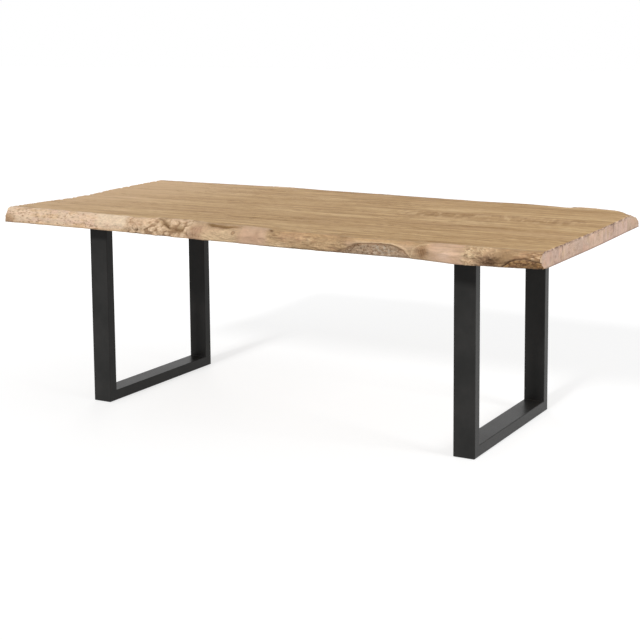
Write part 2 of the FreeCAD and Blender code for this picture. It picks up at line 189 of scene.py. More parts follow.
class Finish(Graph):
    """A material, made of patterns on its place in metres."""

    def __init__(self, name, **constants):
        self.material = bpy.data.materials.new(name)
        self.material.use_nodes = True
        super().__init__(self.material.node_tree)
        self.shader = self.tree.nodes["Principled BSDF"]
        self.feed_shader(constants)
        self.place = self.node("ShaderNodeTexCoord").outputs["Object"]

    def feed_shader(self, feeds):
        for name, feed in feeds.items():
            self.join(feed, self.shader.inputs[name.replace("_", " ")])

    def vector(self, operation, *values):
        made = self.node("ShaderNodeVectorMath", {"operation": operation}, dict(enumerate(values)))
        return made.outputs["Vector"]

    def axis(self, name, place=None):
        """One coordinate of a place, in metres."""
        parts = self.node("ShaderNodeSeparateXYZ", feeds={0: place or self.place})
        return Field(self, parts.outputs[name])

    def cloud(self, per_metre, seed=0, detail=3, roughness=0.5, place=None):
        """Noise from 0 to 1, with so many features to a metre along each axis."""
        spot = self.vector("MULTIPLY_ADD", place or self.place, per_metre, (seed, seed * 2.7, 1))
        feeds = {"Vector": spot, "Scale": 1.0, "Detail": detail, "Roughness": roughness}
        made = self.node("ShaderNodeTexNoise", feeds=feeds)
        return Field(self, made.outputs[0])

    def cells(self, per_metre, seed):
        """Distance to the nearest of many scattered points, so many to a metre."""
        spot = self.vector("MULTIPLY_ADD", self.place, per_metre, (seed, seed * 1.3, 2))
        made = self.node("ShaderNodeTexVoronoi", feeds={"Vector": spot, "Scale": 1.0})
        return Field(self, made.outputs["Distance"])

    def painted(self, name):
        """A number that was stored on the mesh while it was shaped."""
        return Field(self, self.node("ShaderNodeAttribute", {"attribute_name": name}).outputs["Fac"])

    def stained(self, name):
        """A colour that was stored on the mesh while it was shaped."""
        return self.node("ShaderNodeAttribute", {"attribute_name": name}).outputs["Color"]

    def ramp(self, tone, *stops):
        return self.node("ShaderNodeValToRGB", {"stops": stops}, {"Fac": tone}).outputs["Color"]

    def mix(self, amount, first, second, blend="MIX"):
        """Colours in the colour sockets of a Mix node, which are its sockets 6 and 7."""
        settings = {"data_type": "RGBA", "blend_type": blend}
        return self.node("ShaderNodeMix", settings, {0: amount, 6: first, 7: second}).outputs[2]

    def coats(self, colour, *coats):
        """Thin coats over a colour, one by one: how much of each, and its red, green and blue."""
        for amount, shade in coats:
            colour = self.mix(amount, colour, paint(*shade))
        return colour

    def bump(self, height, metres):
        feeds = {"Height": height, "Distance": metres, "Strength": 1.0}
        return self.node("ShaderNodeBump", feeds=feeds).outputs["Normal"]

    def finish(self, **feeds):
        """Joins what varies over the surface to the shader."""
        self.feed_shader(feeds)
        print("finish", self.material.name, len(self.tree.nodes), "nodes")
        return self.material


# %% [markdown]
# ## Floor, background and light
#
# The table stands on a plain white studio floor. To the camera the floor glows with most
# of its white, so it reads as white paper and still shows a soft shadow. The glow grows
# away from the table, where the lamps don't reach. The light is an even sky, a key light
# low in front that throws the shadow of the waney edge on the posts, and softboxes above,
# on the right for the sawn end, and behind.

# %% Floor and sky
FLOOR_SIZE = 80
FLOOR_PAINT = paint(173, 173, 173)
# The glow of the floor, up to the first of these distances and from the second.
GLOW_NEAR, GLOW_FAR = 0.66, 0.84
GLOW_METRES = (1.0, 9.0)
SKY_STRENGTH = 0.34


def seen_directly(graph):
    """1 for rays from the camera and for what metal and glass show, 0 for light on things."""
    path = graph.node("ShaderNodeLightPath")
    shown = Field(graph, path.outputs["Is Camera Ray"])
    for kind in ("Is Glossy Ray", "Is Transmission Ray"):
        shown = shown.larger(path.outputs[kind])
    return shown


bpy.ops.object.select_all(action="DESELECT")
bpy.ops.mesh.primitive_plane_add(size=FLOOR_SIZE)
floor = bpy.context.object
floor.name = "studio_floor"

paper = Finish("studio paper", Base_Color=FLOOR_PAINT, Roughness=1.0, Specular_IOR_Level=0.0)
paper.shader.inputs["Emission Strength"].default_value = 1.0
away = paper.node("ShaderNodeVectorMath", {"operation": "LENGTH"}, {0: paper.place})
spread = Field(paper, away.outputs["Value"]).step(*GLOW_METRES)
glow = (spread * (GLOW_FAR - GLOW_NEAR) + GLOW_NEAR) * seen_directly(paper)
floor.data.materials.append(paper.finish(Emission_Color=glow))

world = bpy.data.worlds.new("studio")
world.use_nodes = True
sky = Graph(world.node_tree)
background = sky.tree.nodes["Background"].inputs
sky.join((1, 1, 1, 1), background["Color"])
sky.join(seen_directly(sky) * (1 - SKY_STRENGTH) + SKY_STRENGTH, background["Strength"])
bpy.context.scene.world = world

# %% Lamps
# Every lamp points at this place, in the middle of the table.
AIM = Vector((0, 0, 0.6))
# The key light comes from the front: its strength, how far it stands above the level,
# and how wide it looks, both in degrees.
KEY_STRENGTH = 2.3
KEY_HEIGHT = 27
KEY_ANGLE = 7
KEY_METRES = 10
# Each softbox: its place, its size and its power in watts.
SOFTBOXES = {
    "overhead_softbox": ((-0.8, 0.3, 4.2), 3.0, 10),
    "right_softbox": ((4.8, -0.7, 2.0), 1.8, 118),
    "back_softbox": ((-3.2, 4.4, 2.6), 2.4, 80),
}


def hang(name, kind, place, **settings):
    """A lamp that points at the table. The one at the back stays out of reflections."""
    lamp = bpy.data.lights.new(name, kind)
    for setting, value in settings.items():
        setattr(lamp, setting, value)
    holder = bpy.data.objects.new(name, lamp)
    holder.location = place
    holder.rotation_euler = (AIM - holder.location).to_track_quat("-Z", "Y").to_euler()
    holder.visible_glossy = name != "back_softbox"
    bpy.context.scene.collection.objects.link(holder)
    print(name, settings)


key_rise = KEY_METRES * math.tan(math.radians(KEY_HEIGHT))
key_place = AIM + Vector((0, -KEY_METRES, key_rise))
hang("key_light", "SUN", key_place, energy=KEY_STRENGTH, angle=math.radians(KEY_ANGLE))
for name, (place, size, watts) in SOFTBOXES.items():
    hang(name, "AREA", place, size=size, energy=watts)

# %% [markdown]
# ## The wood
#
# Every board is cut from round rings about the heart of its own log. The heart line lies
# somewhere below the board and wanders a little, so the top shows long, nearly straight
# streaks, and the sawn end shows the same rings as flat arcs. Using one ring field for
# both faces makes the grain run over the edge as it does in real wood.

# %% The grain of one board
RING_METRES = 0.0065
# How far the rings ripple, in rings, and how thin the dark late wood of each one is.
RING_RIPPLE = 1.2
LATE_WOOD = 2.5

# For each board: how far its heart lies behind its middle and above its underside (minus
# is in front or below), in metres, and how much paler it is than the others.
BOARD_GRAIN = {
    "front_live_edge_board": (0.18, -0.16, 0.02),
    "inner_board_1": (0.05, -0.22, 0.00),
    "inner_board_2": (-0.10, -0.12, -0.03),
    "inner_board_3": (0.09, -0.30, 0.03),
    "inner_board_4": (-0.04, -0.15, -0.04),
    "inner_board_5": (0.12, -0.20, 0.02),
    "back_live_edge_board": (-0.22, -0.18, -0.01),
}


def wandering(finish, seed):
    """The place on the board, with the slow wander of the grain added."""
    feeds = {"Vector": finish.vector("MULTIPLY_ADD", finish.place, (1.1, 3.0, 3.0), (seed, 0, 0))}
    drift = finish.node("ShaderNodeTexNoise", feeds={**feeds, "Scale": 1.0, "Detail": 2.0})
    centred = finish.vector("SUBTRACT", drift.outputs["Color"], (0.5, 0.5, 0.5))
    return finish.vector("MULTIPLY_ADD", centred, (0, 0.11, 0.09), finish.place)


def ring_wave(finish, node, seed):
    """0 in the soft early wood and 1 in the thin dark late wood of each year."""
    low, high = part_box(node)
    behind, above, _ = BOARD_GRAIN[node]
    heart = (0, (low.y + high.y) / 2 + behind, low.z + above)
    place = finish.vector("MULTIPLY", wandering(finish, seed), (0, 1, 1))
    settings = {"operation": "DISTANCE"}
    radius = finish.node("ShaderNodeVectorMath", settings, {0: place, 1: heart}).outputs["Value"]
    ripple = finish.cloud((6, 40, 40), seed, detail=2)
    angle = (Field(finish, radius) / RING_METRES + ripple * RING_RIPPLE) * math.tau
    wave = angle.math("SINE", angle) * 0.5 + 0.5
    return wave ** LATE_WOOD


# %% Chatter marks on the top
# The chattered strip fades in between the two places of each line, along its axis.
CHATTER_BOUNDS = (
    ("X", 0.20, 0.45),
    ("X", 1.12, 1.00),
    ("Y", -0.04, 0.05),
    ("Y", 0.19, 0.09),
    ("Z", 0.74, 0.75),
)
CHATTER_SLANT = 0.25


def chatter(finish, colour, place):
    """Faint strokes across the grain of one strip, left where the planer blade chattered."""
    slant = finish.axis("Y", place) * CHATTER_SLANT
    along = finish.node("ShaderNodeCombineXYZ", feeds={0: slant}).outputs["Vector"]
    slanted = finish.vector("ADD", place, along)
    stroke = finish.cloud((42, 9, 9), 31, detail=1, place=slanted)
    zone = finish.cloud((7, 10, 10), 33, detail=2).step(0.32, 0.48)
    for axis, start, end in CHATTER_BOUNDS:
        zone = zone * finish.axis(axis).step(start, end)
    return finish.coats(
        colour,
        (stroke.step(0.56, 0.62) * zone * 0.44, (132, 98, 63)),
        (stroke.step(0.44, 0.38) * zone * 0.36, (216, 186, 146)),
    )


# %% Glue lines, long grain and end grain
GLUE_METRES = 0.0006
# How far the painted shade at the bottom arris reaches up, and where the sawn end is torn, as two
# distances below the top.
BOTTOM_SHADE_METRES = 0.006
TORN_METRES = (0.011, 0.003)


def glue_lines(node):
    """Where a board meets its neighbours."""
    low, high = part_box(node)
    lines = {"front_live_edge_board": [high.y], "back_live_edge_board": [low.y]}
    return lines.get(node, [low.y, high.y])


def long_grain(node, seed, waney=False):
    """Brushed and left matt: honey tan with long streaks, fine fibres and a few checks."""
    finish = Finish(f"{node} long grain", Specular_IOR_Level=0.1)
    place = wandering(finish, seed)
    tint = BOARD_GRAIN[node][2]
    broad = finish.cloud((1.1, 8, 8), seed, place=place)
    band = finish.cloud((2.6, 30, 30), seed + 3, detail=3, place=place)
    streak = finish.cloud((5, 90, 90), seed + 5, detail=4, roughness=0.65, place=place)
    dash = finish.cloud((36, 110, 110), seed + 6, detail=3, roughness=0.6, place=place)
    fibre = finish.cloud((18, 700, 700), seed + 7, detail=3, roughness=0.7, place=place)
    wave = ring_wave(finish, node, seed)
    tone = (
        0.54 + tint
        + broad.swing(0.6)
        + band.swing(0.9)
        + streak.swing(1.0)
        + dash.swing(0.6)
        + fibre.swing(0.4)
        - wave * 0.10
        - finish.axis("X").step(-0.9, -0.2) * 0.07
    )
    colour = finish.ramp(
        tone,
        (0.05, paint(138, 103, 60)),
        (0.35, paint(169, 135, 91)),
        (0.58, paint(189, 156, 111)),
        (0.95, paint(214, 184, 140)),
    )
    rosy = finish.cloud((2.0, 9, 9), seed + 11).step(0.45, 0.75)
    pale_end = finish.axis("X").step(-0.25, -1.15)
    vein = abs(finish.cloud((1.3, 17, 17), seed + 21, detail=3, place=place) - 0.5).step(0.02, 0.0)
    cluster = finish.cloud((2.2, 9, 9), seed + 13).step(0.48, 0.60)
    check = finish.cloud((22, 170, 170), seed + 17, detail=2, place=place).step(0.60, 0.68)
    pore = finish.cloud((60, 1500, 1500), seed + 19, detail=1, place=place).step(0.58, 0.75)
    cut = check * cluster
    colour = finish.coats(
        colour,
        (rosy * 0.25 + pale_end * 0.6, (207, 174, 137)),
        (vein * streak.step(0.4, 0.6) * 0.45, (132, 98, 60)),
    )
    colour = chatter(finish, colour, place)
    colour = finish.coats(colour, (cut * 0.7, (110, 78, 48)), (pore * 0.25, (130, 98, 64)))
    if waney:
        ragged = finish.cloud((26, 60, 60), seed + 23, detail=3).swing(1.6)
        run_over = (finish.painted("near_arris") * 1.3 + ragged).step(0.7, 1.0)
        skin = finish.mix(1.0, finish.stained("stain"), tone * 0.5 + 0.66, "MULTIPLY")
        colour = finish.mix(run_over * 0.8, colour, skin)
    gaps = [abs(finish.axis("Y") - line) for line in glue_lines(node)]
    seam = gaps[0].smaller(gaps[-1]).step(2 * GLUE_METRES, GLUE_METRES / 2)
    colour = finish.coats(
        colour,
        (finish.painted("chip") * 0.7, (214, 190, 166)),
        (finish.painted("crack") * 0.9, (72, 50, 33)),
        (seam * 0.4, (116, 84, 54)),
    )
    relief = streak * 0.4 + fibre * 0.5 - cut * 1.8 - pore * 0.5 - wave * 0.25 - vein * 0.3 - seam
    rough = 0.64 - tone * 0.08 + cut * 0.2
    return finish.finish(Base_Color=colour, Roughness=rough, Normal=finish.bump(relief, 0.0005))


END_COLOURS = {
    "front_live_edge_board": (186, 160, 145),
    "inner_board_1": (194, 167, 149),
    "inner_board_2": (188, 163, 146),
    "inner_board_3": (199, 171, 151),
    "inner_board_4": (190, 163, 147),
    "inner_board_5": (199, 171, 155),
    "back_live_edge_board": (192, 166, 145),
}


def end_grain(node, seed):
    """Sawn across and left raw: pinkish, with ring arcs, pores, saw marks and glue lines."""
    finish = Finish(f"{node} end grain", Specular_IOR_Level=0.15)
    low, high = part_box(node)
    red, green, blue = END_COLOURS[node]
    wave = ring_wave(finish, node, seed)
    cloud = finish.cloud((20, 26, 26), seed + 2, detail=4, roughness=0.6)
    smudge = finish.cloud((60, 70, 110), seed + 3, detail=3, roughness=0.6)
    speck = finish.cloud((500, 900, 900), seed + 4, detail=2)
    pore = finish.cells((600, 620, 620), seed).step(0.30, 0.16)
    saw = finish.cloud((2, 30, 420), seed + 6, detail=2)
    tone = (
        0.52
        + cloud.swing(1.3)
        + smudge.swing(0.9)
        + speck.swing(0.3)
        + saw.swing(0.25)
        - wave * 0.16
    )
    colour = finish.ramp(
        tone,
        (0.0, paint(red - 40, green - 42, blue - 44)),
        (0.5, paint(red, green, blue)),
        (1.0, paint(red + 20, green + 20, blue + 18)),
    )
    sallow = finish.cloud((9, 16, 16), seed + 9, detail=2).step(0.52, 0.72)
    blush = finish.cloud((11, 15, 22), seed + 14, detail=2).step(0.54, 0.68)
    seam = abs(finish.axis("Y") - glue_lines(node)[-1]).step(3 * GLUE_METRES, GLUE_METRES)
    height = finish.axis("Z")
    bottom_shade = height.step(low.z + BOTTOM_SHADE_METRES, low.z)
    torn = height.step(*(high.z - below for below in TORN_METRES)) * smudge.step(0.44, 0.56)
    colour = finish.coats(
        colour,
        (sallow * 0.5, (208, 178, 140)),
        (blush * 0.38, (208, 168, 146)),
        (pore * 0.22, (red - 66, green - 68, blue - 68)),
        (seam * 0.45, (120, 90, 70)),
        (finish.painted("chip") * 0.5, (218, 196, 176)),
        # Painted shade along the bottom arris, and darker torn wood at the top edge.
        (bottom_shade * 0.7 + torn * 0.8, (104, 80, 66)),
        (finish.painted("crack") * 0.9, (78, 54, 42)),
    )
    relief = saw * 0.7 + speck * 0.3 - pore * 0.6 - seam * 1.2 - wave * 0.25
    rough = 0.72 + pore * 0.15
    return finish.finish(Base_Color=colour, Roughness=rough, Normal=finish.bump(relief, 0.0006))


# %% [markdown]
# ## The waney edge
#
# Below the bark a log is not smooth. There are hollows where the bark sat, knots and
# burrs that boil out of the wood, a patch of bark that would not come off, and folds
# where the trunk grew round a branch. The carving step further down stores the stain of
# each point, which also holds painted highlights and shade, and how hollow, speckled,
# crusty, plain and smooth it is. This finish reads them, and paints shade into the hollows.

# %% Waney edge
def waney_edge(node, seed):
    """The stain laid on while carving, with painted highlights and shade, broken up by grain, specks,
    crust and painted shade in hollows.
    """
    finish = Finish(f"{node} waney edge", Specular_IOR_Level=0.12)
    crust = finish.painted("crust")
    cloud = finish.cloud((22, 40, 44), seed, detail=4, roughness=0.62)
    mottle = finish.cloud((100, 150, 160), seed + 1, detail=3, roughness=0.6)
    grain = finish.cloud((45, 190, 220), seed + 2, detail=4, roughness=0.65)
    speck = finish.cloud((300, 480, 480), seed + 4, detail=2, roughness=0.6)
    streak = finish.cloud((6, 90, 90), seed + 5, detail=4, roughness=0.65)
    rough = mottle.swing(0.5) + grain.swing(0.45) + speck.swing(0.2)
    shade = (
        0.95
        + cloud.swing(0.34)
        + rough * (1 - finish.painted("smooth") * 0.65)
        + streak.swing(0.9) * finish.painted("plain")
    )
    colour = finish.mix(1.0, finish.stained("stain"), shade, "MULTIPLY")
    blush = finish.cloud((10, 16, 20), seed + 6, detail=2).step(0.46, 0.7)
    speckle = finish.painted("speckle")
    fleck = finish.cloud((70, 200, 230), seed + 8, detail=3, roughness=0.65).step(0.54, 0.62)
    glint = finish.cloud((80, 170, 190), seed + 12, detail=3, roughness=0.6).step(0.54, 0.68)
    crumbs = finish.cells((210, 300, 300), seed + 10).step(0.62, 0.2)
    crumbly = crumbs * 0.5 + speck * 0.5
    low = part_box(node)[0]
    bottom_shade = finish.axis("Z").step(low.z + BOTTOM_SHADE_METRES, low.z)
    colour = finish.coats(
        colour,
        (blush * 0.2, (206, 160, 132)),
        (glint * speckle * 0.5, (242, 224, 200)),
        (fleck * speckle * 0.75, (150, 104, 76)),
        (crust * crumbly.step(0.55, 0.25) * 0.5, (120, 90, 68)),
        (crust * crumbly.step(0.60, 0.85) * 0.35, (216, 196, 170)),
        # Painted shade in the carved hollows, cuts and pits.
        (finish.painted("hollow") * 0.8, (100, 72, 49)),
        # Painted shade along the bottom arris.
        (bottom_shade * 0.55, (112, 92, 76)),
        (finish.painted("crack") * 0.9, (78, 54, 42)),
    )
    relief = cloud * 0.7 + mottle * 0.5 + grain * 1.1 + speck * 0.4
    relief = relief + crumbs * crust * 1.5 - fleck * 0.3
    return finish.finish(Base_Color=colour, Roughness=0.7, Normal=finish.bump(relief, 0.0016))


# %% [markdown]
# ## Steel, fasteners and glides
#
# The frames are powder coated, which leaves a satin skin with a very fine orange peel.
# The bolts and washers are zinc plated, the inserts are cast zinc alloy, and the glides
# are black nylon. All keep their exact solids, so only the finish is made here.

# %% Metals and nylon
def powder_coat():
    finish = Finish("black powder coat", Specular_IOR_Level=0.12)
    peel = finish.cloud((900, 900, 900), 1, detail=2)
    dust = finish.cloud((6, 6, 5), 2, detail=5, roughness=0.65)
    scuff = finish.cloud((30, 30, 160), 3, detail=4, roughness=0.7).step(0.62, 0.8)
    colour = finish.mix(dust.step(0.3, 0.75), paint(36, 36, 35), paint(48, 47, 46))
    colour = finish.mix(scuff * 0.3, colour, paint(60, 59, 56))
    rough = 0.34 + dust.swing(0.16) + scuff * 0.1 + peel.swing(0.05)
    return finish.finish(Base_Color=colour, Roughness=rough, Normal=finish.bump(peel, 0.00012))


def metal(name, dark, bright, per_metre, rough):
    """A bare or plated metal: cloudy in tone, a little rougher where it is duller."""
    finish = Finish(name, Metallic=1.0)
    cloud = finish.cloud((per_metre, per_metre, per_metre), 5, detail=4, roughness=0.6)
    colour = finish.mix(cloud.step(0.3, 0.7), paint(*dark), paint(*bright))
    roughness = rough + cloud.swing(0.2)
    return finish.finish(Base_Color=colour, Roughness=roughness, Normal=finish.bump(cloud, 0.0001))


def nylon():
    finish = Finish("black nylon", Specular_IOR_Level=0.4)
    cloud = finish.cloud((400, 400, 400), 4, detail=3)
    worn = finish.axis("Z").step(0.0012, 0.0)
    colour = finish.mix(cloud, paint(20, 20, 20), paint(38, 38, 38))
    colour = finish.mix(worn * 0.6, colour, paint(92, 90, 86))
    rough = 0.5 + worn * 0.3
    return finish.finish(Base_Color=colour, Roughness=rough, Normal=finish.bump(cloud, 0.0001))


STEEL = powder_coat()
NYLON = nylon()
# Each metal: its name, its dark and its bright tone, its clouds to a metre, its roughness.
METALS = {
    "bolts": metal("zinc plate", (150, 152, 150), (196, 197, 192), 260, 0.34),
    "washers": metal("zinc plate, dull", (138, 140, 140), (184, 185, 182), 180, 0.42),
    "inserts": metal("cast zinc alloy", (120, 122, 124), (164, 164, 162), 300, 0.5),
}

# %% [markdown]
# ## Shaping helpers
#
# Each board starts as a primitive and is worked in edit mode. A saw cut is a bisect
# that fills the cut, and its plane is read from the sawn face of the board's solid. For
# worn and cracked edges the faces near the ends need more points, so slices are added
# there only.

# %% Working on one piece
# Points this close, in metres, lie on the same plane.
TOUCH = 1e-5
# How much of its normal a face has along X if it is part of a sawn end, and if it shows
# end grain, and how much it has along Z if it is part of a flat.
FACES_THE_END = 0.9
SHOWS_END_GRAIN = 0.95
FACES_UP = 0.99


def start_piece(name, add, **options):
    """Adds a primitive and makes it the only selected object."""
    bpy.ops.object.select_all(action="DESELECT")
    add(**options)
    piece = bpy.context.object
    piece.name = name
    piece.data.name = name
    bpy.ops.object.transform_apply(location=True, rotation=True, scale=True)
    return piece


def select_faces(wanted):
    """Selects the faces of the piece in edit mode that pass a test."""
    bpy.ops.mesh.select_mode(type="FACE")
    bpy.ops.mesh.select_all(action="DESELECT")
    mesh = bpy.context.object.data
    shape = bmesh.from_edit_mesh(mesh)
    for face in shape.faces:
        face.select_set(wanted(face))
    bmesh.update_edit_mesh(mesh)


def saw_plane(node, side):
    """A point on a board's sawn end and its outward normal; side is -1 left, 1 right."""
    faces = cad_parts[node].data.polygons
    sawn = [face for face in faces if face.normal.x * side > FACES_THE_END]
    sawn = max(sawn, key=lambda face: face.area)
    return sawn.center.copy(), sawn.normal.copy()


def saw_ends(node):
    """Saws both ends of the piece in edit mode, square to the face, as its solid is."""
    for side in (-1, 1):
        place, normal = saw_plane(node, side)
        bpy.ops.mesh.select_all(action="SELECT")
        bpy.ops.mesh.bisect(plane_co=place, plane_no=normal, use_fill=True, clear_outer=True)


# %% Points of a mesh as one array
def read_points(piece):
    points = np.empty(len(piece.data.vertices) * 3)
    piece.data.vertices.foreach_get("co", points)
    return points.reshape(-1, 3)


def write_points(piece, points):
    piece.data.vertices.foreach_set("co", points.ravel())
    piece.data.update()


def store(piece, name, numbers):
    """Keeps one number for each point of the mesh, for the finish to read."""
    held = piece.data.attributes.get(name) or piece.data.attributes.new(name, "FLOAT", "POINT")
    held.data.foreach_set("value", np.ascontiguousarray(numbers, dtype=np.float32))


def fractal(along, across, seed, octaves=3):
    """Fractal noise of about -1 to 1 at places given in widths of its features."""
    spots = zip(np.ravel(along), np.ravel(across))
    values = [noise.fractal((a, b, seed), 0.9, 2.1, octaves) for a, b in spots]
    return np.reshape(values, np.shape(along))


def fade(values, low, high):
    """0 up to low, 1 from high, and smooth between."""
    share = np.clip((values - low) / (high - low), 0, 1)
    return share * share * (3 - 2 * share)


def bell(distance, width):
    """1 at no distance, falling smoothly to 0 in about two widths."""
    return np.exp(-((distance / width) ** 2))


# %% [markdown]
# ### Sawn ends
#
# A saw leaves a flat face, but the top arris of end grain never stays whole. Small
# chips break out of it, and where the board dried too fast a crack runs in from the end.
# The end faces and the last centimetres of the top are sliced into small faces, then
# chips and cracks are pressed in.

# %% Slice the ends
SLICE_PITCH = 0.004
# How far the slices lie from the end, and from the top.
END_STEPS = (0.0022, 0.005, 0.010, 0.018, 0.032)
END_ZONE = END_STEPS[-1]
CRACK_HALF_WIDTH = 0.0018
# The cracks at the right (1) and left (-1) end: place across the table, and depth down the end.
CRACKS = {
    1: [(-0.405, 0.030), (-0.153, 0.024), (0.140, 0.036)],
    -1: [(-0.22, 0.025), (0.235, 0.030)],
}


def slice_ends(node):
    """Adds points to the sawn ends and the flats beside them, in edit mode."""
    low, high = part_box(node)
    planes = [saw_plane(node, side) for side in (-1, 1)]

    def near_an_end(face):
        centre = face.calc_center_median()
        near = any(abs((centre - place).dot(normal)) < END_ZONE for place, normal in planes)
        return near and (abs(face.normal.z) > FACES_UP or abs(face.normal.x) > FACES_THE_END)

    for step in reversed(END_STEPS):
        for place, normal in planes:
            bpy.ops.mesh.select_all(action="SELECT")
            bpy.ops.mesh.bisect(plane_co=place - normal * step, plane_no=normal)
    lines = set(np.arange(low.y + SLICE_PITCH, high.y, SLICE_PITCH))
    for entry, _ in CRACKS[1] + CRACKS[-1]:
        lines = {line for line in lines if abs(line - entry) > 2 * CRACK_HALF_WIDTH}
        lines |= {entry - CRACK_HALF_WIDTH, entry, entry + CRACK_HALF_WIDTH}
    cuts = [((0, y, 0), (0, 1, 0)) for y in sorted(lines) if low.y < y < high.y]
    cuts += [((0, 0, high.z - step), (0, 0, 1)) for step in END_STEPS]
    cuts.append(((0, 0, low.z + END_STEPS[1]), (0, 0, 1)))
    for place, normal in cuts:
        select_faces(near_an_end)
        bpy.ops.mesh.bisect(plane_co=place, plane_no=normal)


# %% Chip and crack the ends
# A chip: its depth, the length from one to the next, and how far it reaches from the arris.
CHIP_DEPTH = 0.006
CHIP_LENGTH = 0.028
CHIP_REACH = 0.007
CHIP_SEED = 11
# A crack: its depth into the wood, and how far its dark stain spreads.
CRACK_DEPTH = 0.006
CRACK_STAIN = 0.005


def wear_ends(piece, node):
    """Presses chips and cracks into the sawn ends of a finished board."""
    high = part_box(node)[1]
    points = read_points(piece)
    marks = {name: np.zeros(len(points)) for name in ("crack", "chip")}
    for side in (-1, 1):
        place, normal = (np.array(part) for part in saw_plane(node, side))
        inside = (place - points) @ normal
        near = inside < END_ZONE - 10 * TOUCH
        spot, inside = points[near], inside[near]
        below = high.z - spot[:, 2]
        arris = np.exp(-(inside ** 2 + below ** 2) / CHIP_REACH ** 2)
        jagged = fractal(spot[:, 1] / CHIP_LENGTH, below / CHIP_LENGTH, CHIP_SEED + side, 4)
        chip = arris * fade(jagged, 0.05, 0.35)
        points[near] -= (CHIP_DEPTH * chip)[:, None] * (normal * 0.6 + (0, 0, 0.8))
        marks["chip"][near] = np.maximum(marks["chip"][near], fade(chip, 0.15, 0.5))
        for entry, depth in CRACKS[side]:
            gap = np.clip(1 - np.abs(spot[:, 1] - entry) / CRACK_HALF_WIDTH, 0, 1)
            gap *= np.clip(1 - below / depth, 0, 1) * np.clip(1 - inside / END_ZONE, 0, 1)
            points[near] -= (CRACK_DEPTH * gap)[:, None] * (normal + (0, 0, 0.8))
            stain = bell(spot[:, 1] - entry, CRACK_STAIN) * bell(inside, CRACK_STAIN)
            stain *= 0.7 * np.clip(1 - below / depth, 0, 1)
            for amount in (np.sqrt(gap), stain):
                marks["crack"][near] = np.maximum(marks["crack"][near], amount)
    write_points(piece, points)
    for name, numbers in marks.items():
        store(piece, name, numbers)


# %% Give the faces of a board their finish
LONG_GRAIN, END_GRAIN, WANEY_EDGE = 0, 1, 2


def finish_board(piece, node, seed, waney=None):
    """Gives flats, sawn ends and the waney edge their own finish, and rides the body."""

    def lies_at(axis, *places):
        return any(all(abs(c[axis] - place) < TOUCH for c in corners) for place in places)

    low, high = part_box(node)
    for material in (long_grain(node, seed, waney is not None), end_grain(node, seed), waney):
        if material:
            piece.data.materials.append(material)
    joints = glue_lines(node)
    for face in piece.data.polygons:
        corners = [piece.data.vertices[v].co for v in face.vertices]
        flat = lies_at(2, low.z, high.z) or lies_at(1, *joints)
        if abs(face.normal.x) > SHOWS_END_GRAIN and not flat:
            face.material_index = END_GRAIN
        elif flat or waney is None:
            face.material_index = LONG_GRAIN
        else:
            face.material_index = WANEY_EDGE
    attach(piece, "root")
    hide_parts(node)


# %% [markdown]
# ### Inner boards
#
# A plain board is a box with sawn ends. It starts as a cube a little longer than the
# board, is sawn at both ends, and is drilled from below for the threaded inserts that
# hold the frames.

# %% Inner boards
# What a board is longer than its solid before it is sawn.
SPARE = 0.06
PILOT_DIAMETER = 0.0122
PILOT_DEPTH = 0.022
PILOT_SIDES = 32
# How far the drill starts below the wood.
DRILL_START = 0.01
INSERTS_PER_FRAME = 5
INNER_SMOOTH_ANGLE = math.radians(35)


def insert_places():
    """The middles of the threaded inserts, at the underside."""
    places = []
    for side in ("left", "right"):
        low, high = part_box(f"{side}_frame_inserts")
        radius = (high.x - low.x) / 2
        middle = (low.x + high.x) / 2
        for y in np.linspace(low.y + radius, high.y - radius, INSERTS_PER_FRAME):
            places.append((middle, y, low.z))
    return places


def drill(piece, node):
    """Drills the pilot holes that fall inside this board, with a boolean."""
    low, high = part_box(node)
    for x, y, z in insert_places():
        if not low.y < y < high.y:
            continue
        drill_bit = start_piece(
            "drill_bit",
            bpy.ops.mesh.primitive_cylinder_add,
            vertices=PILOT_SIDES,
            radius=PILOT_DIAMETER / 2,
            depth=PILOT_DEPTH + DRILL_START,
            location=(x, y, z + (PILOT_DEPTH - DRILL_START) / 2),
        )
        bpy.ops.object.select_all(action="DESELECT")
        piece.select_set(True)
        bpy.context.view_layer.objects.active = piece
        hole = piece.modifiers.new("pilot hole", "BOOLEAN")
        hole.object = drill_bit
        hole.operation = "DIFFERENCE"
        hole.solver = "EXACT"
        bpy.ops.object.modifier_apply(modifier=hole.name)
        bpy.data.objects.remove(drill_bit)


def inner_board(node, seed):
    """A plain board, sawn, drilled and worn."""
    low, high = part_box(node)
    piece = start_piece(
        f"{node}.wood",
        bpy.ops.mesh.primitive_cube_add,
        size=1,
        location=(low + high) / 2,
        scale=high - low + Vector((SPARE, 0, 0)),
    )
    bpy.ops.object.mode_set(mode="EDIT")
    saw_ends(node)
    slice_ends(node)
    bpy.ops.object.mode_set(mode="OBJECT")
    drill(piece, node)
    finish_board(piece, node, seed)
    wear_ends(piece, node)
    bpy.ops.object.shade_smooth_by_angle(angle=INNER_SMOOTH_ANGLE)
    print(piece.name, len(piece.data.polygons), "faces")


for number in range(1, 6):
    inner_board(f"inner_board_{number}", seed=10 * number + 10)

# %% [markdown]
# ### Waney boards
#
# The skin of the log is a long grid. Its rows run round the edge, from the top arris
# over the nose to the bottom arris, and its columns run along the board. The grid is
# bent to the line of the solid, then its points are pushed in and out as a carver would.
# Extruding its two long borders to the glue line makes the flats, bridging them closes
# the back, and the two saw cuts close the ends.

# %% The line of the log, read from the solid
COLUMNS = 1440
ROWS = 58
SOFTEN_METRES = 0.012
# How far a point of the solid may lie from a line or a plane, and still belong to it.
NEAR = 1e-4
# The share of the way round the edge at which the nose lies, and how round the skin is
# between arris and nose: 0 is a straight bevel, 1 a quarter of an ellipse.
NOSE_SHARE = 0.55
FULLNESS = 0.55


